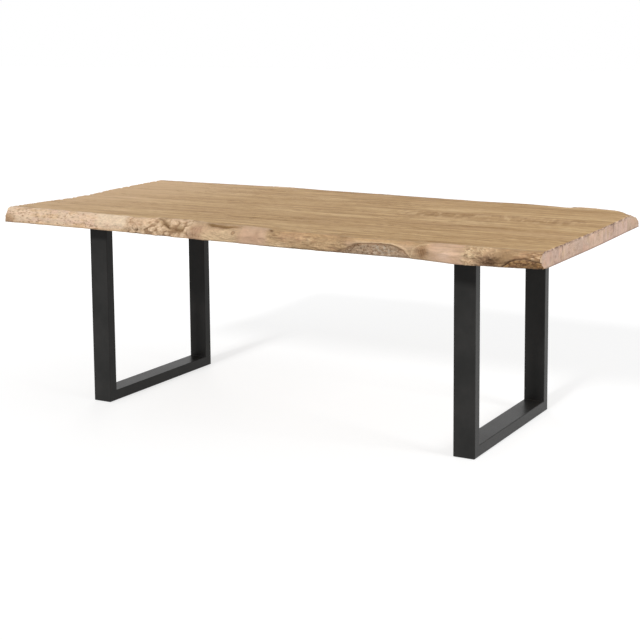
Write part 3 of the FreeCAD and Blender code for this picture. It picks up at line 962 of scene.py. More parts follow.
def measure(section, low, high, outwards):
    """Where a section across the board lies, its two arrises and nose, and the nose's height."""

    def outermost(bottom, top):
        between = [point for point in section if bottom < point[2] < top]
        return max(between, key=lambda point: outwards * point[1])

    top = outermost(high.z - NEAR, high.z + NEAR)
    nose = outermost(low.z + 10 * NEAR, high.z - 10 * NEAR)
    bottom = outermost(low.z - NEAR, low.z + NEAR)
    return nose[0], top[1], nose[1], bottom[1], nose[2]


def edge_stations(node, outwards):
    """The sections of a solid waney board where its line was set, and its two sawn ends."""
    low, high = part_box(node)
    glue = high.y if outwards < 0 else low.y
    points = {tuple(round(c, 5) for c in v.co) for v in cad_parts[node].data.vertices}
    glue_line = {x for x, y, z in points if abs(y - glue) < NEAR and abs(z - high.z) < NEAR}
    sections = []
    for x in sorted(glue_line)[1:-1]:
        section = [point for point in points if abs(point[0] - x) < 2 * NEAR]
        if any(low.z + 10 * NEAR < z < high.z - 10 * NEAR for _, _, z in section):
            sections.append(section)
    for side in (-1, 1):
        place, normal = saw_plane(node, side)
        sections.append([p for p in points if abs((Vector(p) - place).dot(normal)) < 2 * NEAR])
    return np.array(sorted(measure(section, low, high, outwards) for section in sections))


def run_on(stations):
    """Adds a station past each end, in line with the last two."""

    def past(last, other):
        return last + (last - other) * SPARE / abs(last[0] - other[0])

    first, last = past(stations[0], stations[1]), past(stations[-1], stations[-2])
    return np.vstack([first, stations, last])


def soften(line, x):
    """A smooth line through the stations."""
    pitch = x[1] - x[0]
    reach = int(3 * SOFTEN_METRES / pitch)
    weights = np.exp(-0.5 * (np.arange(-reach, reach + 1) * pitch / SOFTEN_METRES) ** 2)
    padded = np.pad(line, reach, mode="reflect", reflect_type="odd")
    return np.convolve(padded, weights / weights.sum(), mode="valid")


def log_skin(node, outwards, x, share):
    """Points of the unworn skin: x down the columns, share 0 at the top arris, 1 at the bottom."""

    def bent(straight, curve):
        return straight * (1 - FULLNESS) + curve * FULLNESS

    low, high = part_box(node)
    stations = run_on(edge_stations(node, outwards))
    print(node, "stations", len(stations), "last", stations[-2].round(3))
    lines = [soften(np.interp(x, stations[:, 0], stations[:, k]), x) for k in (1, 2, 3, 4)]
    top, nose, bottom, nose_z = [line[None, :] for line in lines]
    upper = np.clip(share / NOSE_SHARE, 0, 1)[:, None]
    lower = np.clip((share - NOSE_SHARE) / (1 - NOSE_SHARE), 0, 1)[:, None]
    turn_up, turn_low = upper * math.pi / 2, lower * math.pi / 2
    out_up, down_up = bent(upper, np.sin(turn_up)), bent(upper, 1 - np.cos(turn_up))
    out_low, down_low = bent(lower, 1 - np.cos(turn_low)), bent(lower, np.sin(turn_low))
    y = top + (nose - top) * out_up + (bottom - nose) * out_low
    z = high.z + (nose_z - high.z) * down_up + (low.z - nose_z) * down_low
    return y, z


# %% A skin to carve
# The hollow mark is how much painted shade a point gets in the cuts.
SKIN_MARKS = ("hollow", "speckle", "crust", "plain", "smooth")
# How far the outlines of the marks wander, in metres.
DRIFT_METRES = 0.006


class Skin:
    """The skin of a log, as a grid: columns along the board, rows round its edge.

    share runs from 0 at the top arris to 1 at the bottom arris, and reach is the same
    way in metres. Carving moves the skin in or out and paints shade into its cuts, and dyeing
    changes its stain, which also carries painted highlights and shade.
    Each noise and each draw of random marks has a number of its own, as its seed.
    """

    def __init__(self, x, share, reach, ground, seed):
        self.x = x
        self.share = np.broadcast_to(share[:, None], x.shape)
        self.reach = reach
        self.height = reach[-1]
        self.seed = seed
        self.out = np.zeros_like(x)
        self.marks = {name: np.zeros_like(x) for name in SKIN_MARKS}
        self.stain = np.empty((*x.shape, 3))
        self.stain[:] = ground
        self.drift = DRIFT_METRES * self.rough(0.040, 0.024, 90)

    def rough(self, along, across, number, octaves=3):
        """Noise of about -1 to 1, with features of these sizes in metres."""
        return fractal(self.x / along, self.reach / across, self.seed * 100 + number, octaves)

    def stretch(self, name, soft=0.02):
        """1 on a named stretch of the board, with soft and ragged ends."""
        return self.between(*STRETCHES[name], soft)

    def between(self, start, end, soft=0.02):
        """1 between two places along the board, with soft and ragged ends."""
        along = self.x + 2 * self.drift
        return fade(along, start - soft, start + soft) * (1 - fade(along, end - soft, end + soft))

    def upper(self, share, soft=0.12):
        """1 above a level on the edge, 0 below."""
        return 1 - fade(self.share + self.drift / self.height, share - soft, share + soft)

    def spot(self, name):
        """1 in the middle of a named spot, fading out over its half length and half height."""
        x, share, long, high = SPOTS[name]
        along = (self.x + self.drift - x) / long
        across = ((self.share - share) * self.height + self.drift) / high
        return bell(np.hypot(along, across), 1)

    def away(self, *names):
        """Metres round the edge from named lines, laid end to end; 1 past their ends."""
        x, share = zip(*(place for name in names for place in LINES[name]))
        course = np.interp(self.x, x, share)
        beyond = (self.x < x[0]) | (self.x > x[-1])
        return np.where(beyond, 1.0, (self.share - course) * self.height + 0.5 * self.drift)

    def line(self, name, width):
        """1 on a named line, fading out to both sides."""
        return bell(self.away(name), width)

    def patches(self, name):
        """1 in the named patches, where noise is above their high level, 0 below their low."""
        along, across, number, low, high, octaves = PATCHES[name]
        return fade(self.rough(along, across, number, octaves), low, high)

    def roughen(self, *layers):
        """Adds noise: how deep, its size along and across, and its octaves."""
        for number, (depth, along, across, octaves) in enumerate(layers, start=1):
            self.out += depth * self.rough(along, across, number, octaves)

    def ridges(self, lean, pitch, number, warp=0.012):
        """Waves from 0 to 1 whose crests lean by some degrees from the length of the board."""
        turn = math.radians(lean)
        across = self.reach * math.cos(turn) - self.x * math.sin(turn)
        across = across + warp * self.rough(0.06, 0.03, number, 2)
        return 0.5 + 0.5 * np.sin(across / pitch * math.tau)

    def lumps(self, start, end, smallest, largest, count, number):
        """Height of many round caps that crowd each other, as in a burr."""
        dice = np.random.default_rng(self.seed * 100 + number)
        top = np.zeros_like(self.x)
        for _ in range(count):
            middle = dice.uniform(start, end)
            level = dice.uniform(0.0, 1.0)
            size = dice.uniform(smallest, largest)
            columns, along, across = self.around(middle, level, 1.25 * size, size, 2)
            cap = size * np.sqrt(np.clip(1 - along ** 2 - across ** 2, 0, 1))
            top[:, columns] = np.maximum(top[:, columns], cap)
        return top

    def around(self, x, share, long, high, widths):
        """The columns within some widths of a place, and how far their points lie from it."""
        columns = np.abs(self.x[0] - x) < widths * high
        along = (self.x[:, columns] - x) / long
        across = (self.reach[:, columns] - share * self.height[columns]) / high
        return columns, along, across

    def carve(self, amount, depth, dark=0.9):
        """Cuts in to a depth where the amount is 1, and paints shade into the cut."""
        self.out -= depth * amount
        self.marks["hollow"] = np.maximum(self.marks["hollow"], dark * amount)

    def level(self, amount, share):
        """Takes a share of the roughness away where the amount is 1."""
        self.out *= 1 - share * amount
        self.marks["smooth"] = np.maximum(self.marks["smooth"], amount)

    def mark(self, name, amount):
        self.marks[name] += amount

    # Lays on real stains, and also the painted highlights and shade of the edge.
    def dye_and_paint_light(self, shade, amount):
        amount = np.clip(amount, 0, 1)[..., None]
        self.stain += (np.array(shade) - self.stain) * amount

    def pits(self, start, end, count, number):
        """Small deep holes, where buds and insects left them, with painted shade in them."""
        dice = np.random.default_rng(self.seed * 100 + number)
        for _ in range(count):
            middle = dice.uniform(start, end)
            level = dice.uniform(0.1, 0.95)
            size = dice.uniform(0.0012, 0.0026)
            columns, along, across = self.around(middle, level, 2.2 * size, size, 8)
            hole = bell(np.hypot(along, across), 1)
            self.out[:, columns] -= 0.8 * size * hole
            darkened = np.maximum(self.marks["hollow"][:, columns], 0.7 * hole)
            self.marks["hollow"][:, columns] = darkened


# %% Stains of the waney edge, and colours of its painted highlights and shade, as mixed for the eye
SAPWOOD = (226, 199, 170)
CLEAR = (233, 210, 181)
PEACH = (225, 194, 170)
OCHRE = (206, 172, 132)
HONEY = (189, 158, 121)
BRUSHED = (181, 149, 110)
TAN = (193, 163, 131)
PALE_TAN = (229, 201, 169)
FAWN = (166, 134, 98)
ROSE = (204, 171, 143)
DUSKY_ROSE = (180, 147, 120)
OLIVE = (138, 108, 70)
CREAM = (222, 194, 156)
BARK = (186, 159, 132)
PALE_BARK = (210, 194, 172)
DARK_BARK = (118, 91, 68)
BROWN = (144, 110, 79)
UMBER = (100, 77, 57)
GOLD = (190, 147, 98)
DARK_GOLD = (116, 81, 50)
PALE_GOLD = (212, 172, 118)


# %% Where the marks of the waney edges lie
# Places beyond both ends of the board.
PAST_LEFT, PAST_RIGHT = -1.3, 1.3
# Where each stretch of the front edge starts and ends along the table, in metres.
STRETCHES = {
    "sapwood": (PAST_LEFT, -0.46),
    "shaded left corner": (PAST_LEFT, -1.07),
    "clear sapwood": (-0.66, -0.47),
    "burr": (-0.495, -0.20),
    "dusky patch": (-0.205, -0.145),
    "below the hollow": (-0.15, 0.0),
    "hollow": (-0.13, -0.005),
    "planes": (0.02, 0.14),
    "curled wood": (0.15, 0.46),
    "brushed strip": (0.15, 0.93),
    "plain strip": (0.13, 0.95),
    "rosy face": (0.768, 0.893),
    "crust": (0.890, 0.948),
    "ridges": (0.935, 1.0),
    "corner": (1.0, PAST_RIGHT),
    "torn corner": (1.105, PAST_RIGHT),
}
# Spots: x, the share of the way down the edge, half their length and half their height.
SPOTS = {
    "dent in the arris": (-1.025, 0.03, 0.018, 0.003),
    "dent in the sapwood": (-1.055, 0.22, 0.006, 0.003),
    "notch before the burr": (-0.424, 0.42, 0.006, 0.018),
    "hole in the burr": (-0.212, 0.72, 0.0035, 0.013),
    "dusky spot": (0.095, 0.45, 0.014, 0.020),
    "hole in the arris": (0.150, 0.05, 0.011, 0.005),
    "pale curl": (0.19, 0.85, 0.045, 0.010),
    "pale bark": (0.585, 0.72, 0.055, 0.030),
    "foot of the bark": (0.422, 0.94, 0.012, 0.006),
    "scar": (0.741, 0.58, 0.020, 0.020),
    "peach spot": (0.825, 0.60, 0.026, 0.018),
    "shaded hollow": (0.988, 0.80, 0.044, 0.020),
}
# Lines through places, each x and the share of the way down the edge.
LINES = {
    "crease": [(-0.378, 0.0), (-0.337, 0.22), (-0.298, 0.42), (-0.262, 0.42), (-0.232, 0.44)],
    "hollow": [(-0.170, 0.06), (-0.11, 0.13), (-0.05, 0.17), (0.0, 0.12), (0.02, 0.05)],
    "left of the bark": [(0.391, 1.0), (0.426, 0.82), (0.466, 0.68), (0.491, 0.55)],
    "top of the bark": [(0.546, 0.43), (0.594, 0.39), (0.638, 0.46)],
    "right of the bark": [(0.669, 0.62), (0.689, 0.82), (0.697, 1.0)],
    "crack in the bark": [(0.462, 0.98), (0.478, 0.78), (0.496, 0.60)],
    "lips": [(0.695, 0.95), (0.707, 0.60), (0.731, 0.28), (0.775, 0.10)],
    "start of the fold": [(1.018, 1.0), (1.035, 0.84), (1.052, 0.70), (1.070, 0.60)],
    "end of the fold": [(1.10, 0.57), (1.13, 0.63), (1.2, 0.68)],
}
# Patches of noise on both edges: their size along and across in metres, the number of
# the noise, the two levels of it between which they fade in, and its octaves.
PATCHES = {
    "peach clouds": (0.05, 0.020, 24, 0.0, 0.35, 3),
    "ochre clouds": (0.07, 0.022, 25, 0.1, 0.45, 3),
    "clusters of specks": (0.09, 0.020, 4, -0.12, 0.25, 3),
    "brown crumbs in the burr": (0.010, 0.006, 27, 0.15, 0.45, 3),
    "streaks down the dusky patch": (0.006, 0.020, 28, 0.1, 0.4, 3),
    "cream curls": (0.030, 0.010, 29, 0.0, 0.4, 3),
    "brown curls": (0.032, 0.004, 35, 0.12, 0.40, 3),
    "gashes": (0.055, 0.0038, 10, 0.22, 0.50, 2),
    "scales of pale bark": (0.013, 0.009, 11, -0.05, 0.30, 3),
    "cracks in the bark": (0.009, 0.0055, 12, 0.14, 0.44, 3),
    "honey clouds": (0.05, 0.012, 30, 0.0, 0.4, 3),
    "flakes of crust": (0.020, 0.012, 34, -0.35, 0.05, 3),
    "pits in the crust": (0.017, 0.010, 31, 0.18, 0.34, 2),
    "gaps in the ridges": (0.015, 0.012, 22, -0.2, 0.3, 3),
    "honey streaks": (0.05, 0.008, 33, 0.12, 0.4, 3),
    "pale clouds, back": (0.35, 0.2, 4, -0.2, 0.4, 2),
    "rosy clouds, back": (0.20, 0.06, 5, 0.0, 0.5, 2),
    "specks, back": (0.12, 0.03, 6, 0.0, 0.4, 3),
    "strips of bark, back": (0.17, 0.035, 9, 0.24, 0.36, 3),
    "cracks in the bark, back": (0.012, 0.008, 10, 0.15, 0.45, 3),
    "gashes, back": (0.05, 0.004, 12, 0.30, 0.55, 3),
}
# The stretch over which the lumps of the burr are strewn, a button of wood in it, and a
# bud below the hollow.
BURR_LUMPS = (-0.51, -0.19)
BUTTON = (-0.450, 0.66)
BUD_X, BUD_REACH = -0.008, 0.045
tables = {"stretches": STRETCHES, "spots": SPOTS, "lines": LINES, "patches": PATCHES}
for kind, places in tables.items():
    print("waney edges:", len(places), kind)


# %% Carve the left half of the front edge
def carve_sapwood(skin):
    """The left third is smooth pale sapwood, with specks in loose clusters."""
    sapwood = skin.stretch("sapwood")
    clear = skin.stretch("clear sapwood", soft=0.03) * skin.upper(0.62)
    skin.dye_and_paint_light(SAPWOOD, sapwood)
    skin.dye_and_paint_light(PEACH, sapwood * skin.patches("peach clouds") * 0.7)
    skin.dye_and_paint_light(OCHRE, sapwood * skin.patches("ochre clouds") * 0.5)
    skin.dye_and_paint_light(OCHRE, sapwood * (1 - skin.upper(0.82)) * 0.6)
    skin.dye_and_paint_light(CLEAR, clear * 0.8)
    clusters = skin.patches("clusters of specks")
    skin.mark("speckle", sapwood * (0.25 + 0.75 * clusters) * (1 - 0.8 * clear))
    skin.out += sapwood * clusters * 0.0009 * skin.rough(0.012, 0.005, 26)
    skin.pits(-1.1, -0.65, count=60, number=5)
    # Painted shadow on the lower part of the edge at the left corner.
    corner = skin.stretch("shaded left corner", soft=0.03) * (1 - skin.upper(0.45, soft=0.2))
    skin.dye_and_paint_light(BROWN, corner * 0.6)
    skin.carve(skin.spot("dent in the arris"), depth=0.0015, dark=0.7)
    skin.carve(skin.spot("dent in the sapwood"), depth=0.0015, dark=0.6)


def carve_burr(skin):
    """A burr of round lumps, with a crease across it and a hole at its end."""
    burr = skin.stretch("burr")
    caps = skin.lumps(*BURR_LUMPS, smallest=0.007, largest=0.015, count=125, number=6)
    warts = skin.lumps(*BURR_LUMPS, smallest=0.0025, largest=0.006, count=360, number=20)
    skin.out += burr * (0.34 * caps + 0.5 * warts - 0.004 + 0.0012 * skin.rough(0.008, 0.006, 21))
    skin.dye_and_paint_light(TAN, burr)
    # Paler cap tops are a painted highlight; brown between the caps is painted shade.
    skin.dye_and_paint_light(PALE_TAN, burr * fade(caps + warts, 0.007, 0.014) * 0.8)
    skin.dye_and_paint_light(BROWN, burr * (1 - fade(caps, 0.002, 0.007)) * 0.3)
    skin.dye_and_paint_light(BROWN, burr * skin.patches("brown crumbs in the burr") * 0.3)
    # Painted shade in the dips between the caps.
    skin.carve(burr * (1 - fade(caps, 0.0005, 0.004)), depth=0.0012, dark=0.25)
    x, share = BUTTON
    button = np.hypot(skin.x - x, skin.reach - share * skin.height)
    skin.out += 0.002 * bell(button, 0.009)
    skin.carve(bell(button - 0.013, 0.0018), depth=0.0025, dark=0.5)
    skin.carve(skin.spot("notch before the burr"), depth=0.004, dark=0.35)
    skin.carve(skin.line("crease", width=0.0036), depth=0.0055, dark=0.55)
    # Painted shade beside the crease.
    skin.dye_and_paint_light(OLIVE, skin.line("crease", width=0.010) * 0.5)
    skin.carve(skin.spot("hole in the burr"), depth=0.007, dark=0.7)
    patch = skin.stretch("dusky patch", soft=0.01) * (1 - skin.upper(0.3))
    skin.dye_and_paint_light(DUSKY_ROSE, patch * 0.8)
    skin.dye_and_paint_light(BROWN, patch * skin.patches("streaks down the dusky patch") * 0.4)


def carve_long_hollow(skin):
    """A long hollow under the top arris, and the wood that flowed round a bud below it."""
    below = skin.stretch("below the hollow") * (1 - skin.upper(0.4))
    flow = skin.ridges(lean=14, pitch=0.013, number=7, warp=0.022)
    skin.out += below * 0.0012 * flow
    skin.dye_and_paint_light(CREAM, below * (0.35 + 0.45 * flow))
    middle = skin.stretch("hollow", soft=0.03)
    skin.carve(skin.line("hollow", width=0.0065) * middle, depth=0.006, dark=0.35)
    # Painted shadow along the hollow under the arris.
    skin.dye_and_paint_light(OLIVE, skin.line("hollow", width=0.0085) * middle)
    bud = np.hypot(skin.x - BUD_X, skin.reach - BUD_REACH)
    skin.carve(bell(bud - 0.006, 0.0016), depth=0.0016, dark=0.75)
    skin.dye_and_paint_light(BROWN, bell(bud, 0.005) * 0.6)


def carve_facets(skin):
    """Smooth planes where an axe took the bark off, then curled honey wood up to the bark."""
    planes = skin.stretch("planes")
    skin.level(planes, share=0.7)
    skin.out += planes * 0.006 * (0.5 - np.abs(skin.rough(0.055, 0.04, 8, 2)))
    skin.dye_and_paint_light(ROSE, planes * 0.9)
    skin.dye_and_paint_light(DUSKY_ROSE, skin.spot("dusky spot") * 0.7)
    skin.carve(skin.spot("hole in the arris"), depth=0.006)
    curl = skin.stretch("curled wood")
    wave = skin.ridges(lean=-8, pitch=0.008, number=9, warp=0.024)
    skin.out += curl * 0.0010 * wave
    skin.dye_and_paint_light(HONEY, curl)
    skin.dye_and_paint_light(CREAM, curl * wave * skin.patches("cream curls") * 0.45)
    skin.dye_and_paint_light(BROWN, curl * skin.patches("brown curls") * 0.4)
    gash = skin.patches("gashes")
    skin.carve(curl * gash, depth=0.0010, dark=0.45)
    skin.dye_and_paint_light(CREAM, skin.spot("pale curl") * 0.8)
    levelled = skin.stretch("brushed strip", soft=0.04) * skin.upper(0.34, soft=0.16)
    skin.dye_and_paint_light(BRUSHED, levelled * 0.85)
    skin.mark("plain", skin.stretch("plain strip") * skin.upper(0.6))


# %% Carve the right half of the front edge
def carve_bark(skin):
    """An arch of bark that would not come off, with a raised rim of healed wood."""
    away = skin.away("left of the bark", "top of the bark", "right of the bark")
    inside = fade(away, 0.0, 0.003) * (away < 0.9)
    broad = 0.0024 + 0.004 * fade(skin.x, 0.62, 0.70)
    rim = bell(away + broad, broad) * fade(skin.x, 0.47, 0.56)
    skin.out += 0.0026 * rim
    skin.dye_and_paint_light(CREAM, rim * 0.8)
    skin.dye_and_paint_light(BARK, inside)
    pale = skin.spot("pale bark") * skin.patches("scales of pale bark")
    skin.dye_and_paint_light(PALE_BARK, inside * pale)
    cracked = skin.patches("cracks in the bark")
    skin.dye_and_paint_light(DARK_BARK, inside * cracked * (0.85 - 0.35 * fade(skin.x, 0.5, 0.6)))
    # Painted shadow just inside the raised rim.
    skin.dye_and_paint_light(BROWN, inside * (1 - fade(away, 0.001, 0.009)) * 0.7)
    skin.out += inside * (0.0015 * skin.rough(0.009, 0.007, 13) - 0.0026)
    skin.carve(bell(away - 0.001, 0.0014), depth=0.0012, dark=0.45)
    skin.carve(skin.line("crack in the bark", width=0.0018), depth=0.0015, dark=0.7)
    skin.dye_and_paint_light(DARK_BARK, skin.spot("foot of the bark"))
    skin.mark("crust", 0.3 * inside)


def carve_pink_face(skin):
    """A healed branch: pale lips of wood, a brown scar, and a smooth rosy face beside it."""
    lips = skin.line("lips", width=0.0040)
    skin.out += 0.0018 * lips
    skin.dye_and_paint_light(CREAM, lips * 0.8)
    scar = skin.spot("scar")
    fan = skin.ridges(lean=-70, pitch=0.006, number=14, warp=0.006)
    skin.dye_and_paint_light(BROWN, scar * (0.7 + 0.5 * fan))
    skin.out -= scar * (0.0025 + 0.0008 * fan)
    face = skin.stretch("rosy face")
    skin.level(face, share=0.7)
    skin.dye_and_paint_light(ROSE, face)
    skin.dye_and_paint_light(PEACH, skin.spot("peach spot") * 0.8)
    skin.dye_and_paint_light(HONEY, face * skin.patches("honey clouds") * 0.3)


def carve_crust(skin):
    """A cream crust with brown worm tracks, then ridges that run down into a hollow painted dark with
    shade.
    """
    crust = skin.stretch("crust", soft=0.012) * skin.patches("flakes of crust")
    track = 1 - fade(np.abs(skin.rough(0.028, 0.015, 15, 2)), 0.03, 0.10)
    pit = skin.patches("pits in the crust")
    skin.out += crust * (0.0022 * skin.rough(0.014, 0.009, 16, 2) + 0.002)
    skin.dye_and_paint_light(CREAM, crust)
    skin.dye_and_paint_light(BROWN, crust * track * 0.55)
    skin.carve(crust * pit, depth=0.0024, dark=0.55)
    downward = skin.stretch("ridges", soft=0.012)
    comb = skin.ridges(lean=70, pitch=0.014, number=17, warp=0.030) * skin.patches("gaps in the ridges")
    skin.out += downward * 0.003 * comb
    skin.dye_and_paint_light(CREAM, downward * fade(skin.share, 0.60, 0.25) * 0.7)
    skin.dye_and_paint_light(CREAM, downward * comb * 0.7)
    skin.dye_and_paint_light(BROWN, downward * (1 - comb) * 0.35)
    # Painted shade in the hollow, in umber.
    hollow = skin.spot("shaded hollow") * (0.8 + 0.5 * skin.rough(0.012, 0.012, 32))
    skin.carve(np.clip(hollow, 0, 1), depth=0.008, dark=0.5)
    skin.dye_and_paint_light(UMBER, hollow * 1.3)
    skin.mark("crust", 0.25 * crust)


def carve_roll(skin):
    """At the right corner the wood rolls over a fold painted dark with shade, with golden wood below
    it.
    """
    corner = skin.stretch("corner", soft=0.03)
    away = skin.away("start of the fold", "end of the fold")
    reached = away < 0.9
    roll = corner * np.where(reached, 1 - fade(away, -0.003, 0.001), 1)
    golden = fade(away, 0.0, 0.004) * reached
    skin.dye_and_paint_light(FAWN, roll * 0.9)
    skin.dye_and_paint_light(HONEY, roll * skin.patches("honey streaks") * 0.7)
    # Painted shade on the lower part of the roll, just above the fold.
    skin.dye_and_paint_light(BROWN, roll * fade(away, -0.012, -0.002) * reached * 0.8)
    skin.out += roll * reached * 0.0035 * fade(-away, 0.0, 0.012)
    skin.dye_and_paint_light(GOLD, golden)
    mottle = skin.rough(0.016, 0.006, 18)
    skin.dye_and_paint_light(DARK_GOLD, golden * fade(mottle, -0.02, 0.28))
    skin.dye_and_paint_light(PALE_GOLD, golden * fade(-mottle, 0.10, 0.40) * 0.9)
    skin.out += golden * 0.004 * mottle
    # Painted shade in the fold.
    skin.carve(bell(away, 0.0028), depth=0.005)
    band = fade(skin.share, 0.12, 0.26) * (1 - fade(skin.share, 0.5, 0.62))
    torn = skin.stretch("torn corner") * band
    chips = skin.rough(0.018, 0.0035, 19)
    skin.dye_and_paint_light(BROWN, torn * fade(chips, -0.15, 0.10) * 0.8)
    skin.dye_and_paint_light(UMBER, torn * fade(chips, 0.15, 0.35) * 0.6)
    skin.dye_and_paint_light(PALE_TAN, torn * fade(-chips, 0.22, 0.45) * 0.6)
    skin.out += torn * 0.0016 * chips
    skin.mark("crust", 0.6 * golden)


FRONT_STEPS = (
    carve_sapwood,
    carve_burr,
    carve_long_hollow,
    carve_facets,
    carve_bark,
    carve_pink_face,
    carve_crust,
    carve_roll,
)


def carve_front(skin):
    """The front from left to right, on a ground of noise."""
    skin.roughen((0.0045, 0.085, 0.034, 3), (0.0014, 0.024, 0.011, 3), (0.0005, 0.007, 0.004, 2))
    for step in FRONT_STEPS:
        step(skin)


# %% Carve the back edge
# Each burr: where it starts and ends, and the number of its lumps.
BACK_BURRS = ((-0.56, -0.42, 7), (0.84, 0.98, 8))
BACK_FOLDS = (-1.2, -1.02)


def carve_back(skin):
    """The back is plainer: long lumps, two small burrs, strips of bark and a few pits."""
    skin.roughen((0.0045, 0.11, 0.036, 3), (0.0014, 0.026, 0.012, 3), (0.0005, 0.007, 0.004, 2))
    skin.dye_and_paint_light(SAPWOOD, skin.patches("pale clouds, back") * 0.8)
    skin.dye_and_paint_light(ROSE, skin.patches("rosy clouds, back") * 0.8)
    skin.dye_and_paint_light(BROWN, skin.upper(0.05, soft=0.05) * (0.6 + 0.6 * skin.rough(0.08, 0.03, 15)))
    skin.mark("speckle", skin.patches("specks, back"))
    for start, end, number in BACK_BURRS:
        burr = skin.between(start, end)
        caps = skin.lumps(start, end, smallest=0.008, largest=0.020, count=45, number=number)
        skin.out += burr * (0.8 * caps - 0.008)
        skin.dye_and_paint_light(TAN, burr)
        # Paler cap tops are a painted highlight; the dips between the caps get painted shade.
        skin.dye_and_paint_light(PALE_TAN, burr * fade(caps, 0.008, 0.016))
        skin.carve(burr * (1 - fade(caps, 0.001, 0.008)), depth=0.002, dark=0.65)
    strips = skin.patches("strips of bark, back")
    skin.dye_and_paint_light(BARK, strips)
    skin.dye_and_paint_light(DARK_BARK, strips * skin.patches("cracks in the bark, back") * 0.9)
    skin.out += strips * (0.002 + 0.0018 * skin.rough(0.012, 0.009, 11))
    skin.mark("crust", strips)
    gash = skin.patches("gashes, back")
    skin.carve(gash, depth=0.0014, dark=0.6)
    folds = skin.between(*BACK_FOLDS)
    wave = skin.ridges(lean=6, pitch=0.026, number=13, warp=0.02)
    skin.out += folds * 0.005 * wave
    skin.dye_and_paint_light(BROWN, folds * (1 - wave) * 0.8)
    skin.pits(-1.0, 1.1, count=90, number=14)


# %% Build a waney board
# How far the colour of the waney edge runs over the top arris. The strip of faces that
# carries it leaves this share of the board's width to the plain top.
RUN_OVER = 0.03
STRIP_SHARE = 0.78
# The skin keeps this far inside the box of the solid.
HAIR = 0.0002
WANEY_SMOOTH_ANGLE = math.radians(50)


def push_out(node, outwards, skin, y, z):
    """The points of a carved skin: each is moved square to the skin, but not past the flats."""
    low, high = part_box(node)
    run_y, run_z = np.gradient(y, axis=0), np.gradient(z, axis=0)
    length = np.hypot(run_y, run_z)
    free = fade(skin.share, 0.0, 0.08) * (1 - fade(skin.share, 0.92, 1.0))
    y = y + skin.out * outwards * np.abs(run_z) / length
    z = z + skin.out * outwards * run_y / length * free
    y = np.clip(y, low.y + HAIR, high.y - HAIR)
    return np.stack([skin.x, y, np.clip(z, low.z, high.z)], axis=-1)


def waney_board(node, outwards, carve, seed):
    """A board with one waney edge; outwards is -1 where that edge faces the front."""
    low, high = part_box(node)
    piece = start_piece(
        f"{node}.wood",
        bpy.ops.mesh.primitive_grid_add,
        x_subdivisions=COLUMNS,
        y_subdivisions=ROWS,
        size=1,
    )
    flat = read_points(piece)
    row_x = (flat[: COLUMNS + 1, 0] + 0.5) * (high.x - low.x + SPARE) + low.x - SPARE / 2
    share = 0.5 + flat[:: COLUMNS + 1, 1]
    y, z = log_skin(node, outwards, row_x, share)
    steps = np.hypot(np.diff(y, axis=0), np.diff(z, axis=0))
    reach = np.vstack([np.zeros(len(row_x)), np.cumsum(steps, axis=0)])
    skin = Skin(np.tile(row_x, (len(share), 1)), share, reach, TAN, seed)
    carve(skin)
    skin.marks["hollow"] = np.clip(skin.marks["hollow"], 0, 1)

    # The rows of the grid run the other way, from the bottom arris up.
    points = push_out(node, outwards, skin, y, z)
    write_points(piece, points[::-1].reshape(-1, 3))
    for name, numbers in skin.marks.items():
        store(piece, name, numbers[::-1].ravel())
    # The stain carries real stains and also the painted highlights and shade.
    stain = piece.data.attributes.new("stain", "FLOAT_COLOR", "POINT")
    colours = np.dstack([linear(skin.stain), np.ones_like(skin.x)])
    stain.data.foreach_set("color", colours[::-1].astype(np.float32).ravel())
    close_board(piece, node, high.y if outwards < 0 else low.y)
    mark_near_arris(piece, node, row_x, points[0, :, 1])
    finish_board(piece, node, seed, waney_edge(node, seed))
    wear_ends(piece, node)
    bpy.ops.object.shade_smooth_by_angle(angle=WANEY_SMOOTH_ANGLE, keep_sharp_edges=True)
    print(piece.name, len(piece.data.polygons), "faces")


def mark_near_arris(piece, node, x, arris):
    """Stores 1 at the top arris, falling to 0 over the strip beside it."""
    points = read_points(piece)
    on_top = points[:, 2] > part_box(node)[1].z - TOUCH
    distance = np.abs(points[:, 1] - np.interp(points[:, 0], x, arris))
    store(piece, "near_arris", np.where(on_top, np.clip(1 - distance / RUN_OVER, 0, 1), 0))


def select_border(piece, axis, place):
    """Selects the open edges that run lengthwise, at one place along an axis."""
    bpy.ops.mesh.select_all(action="DESELECT")
    shape = bmesh.from_edit_mesh(piece.data)
    for edge in shape.edges:
        first, second = (vertex.co for vertex in edge.verts)
        lengthwise = edge.is_boundary and abs(first.x - second.x) > TOUCH
        apart = max(abs(first[axis] - place), abs(second[axis] - place))
        edge.select_set(lengthwise and apart < TOUCH)
    bmesh.update_edit_mesh(piece.data)


def close_board(piece, node, glue):
    """Extrudes the two long borders to the glue line, bridges them, and saws the ends."""
    low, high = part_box(node)
    bpy.ops.object.mode_set(mode="EDIT")
    bpy.ops.mesh.select_mode(type="EDGE")
    for z in (high.z, low.z):
        select_border(piece, 2, z)
        bpy.ops.mesh.mark_sharp()
        if z == high.z:
            bpy.ops.mesh.extrude_edges_move()
            bpy.ops.transform.resize(value=(1, STRIP_SHARE, 1), center_override=(0, glue, z))
        bpy.ops.mesh.extrude_edges_move()
        bpy.ops.transform.resize(value=(1, 0, 1), center_override=(0, glue, z))
    select_border(piece, 1, glue)
    bpy.ops.mesh.bridge_edge_loops()
    bpy.ops.mesh.select_all(action="SELECT")
    bpy.ops.mesh.normals_make_consistent(inside=False)
    saw_ends(node)
    slice_ends(node)
    bpy.ops.object.mode_set(mode="OBJECT")


waney_board("front_live_edge_board", outwards=-1, carve=carve_front, seed=3)
waney_board("back_live_edge_board", outwards=1, carve=carve_back, seed=5)

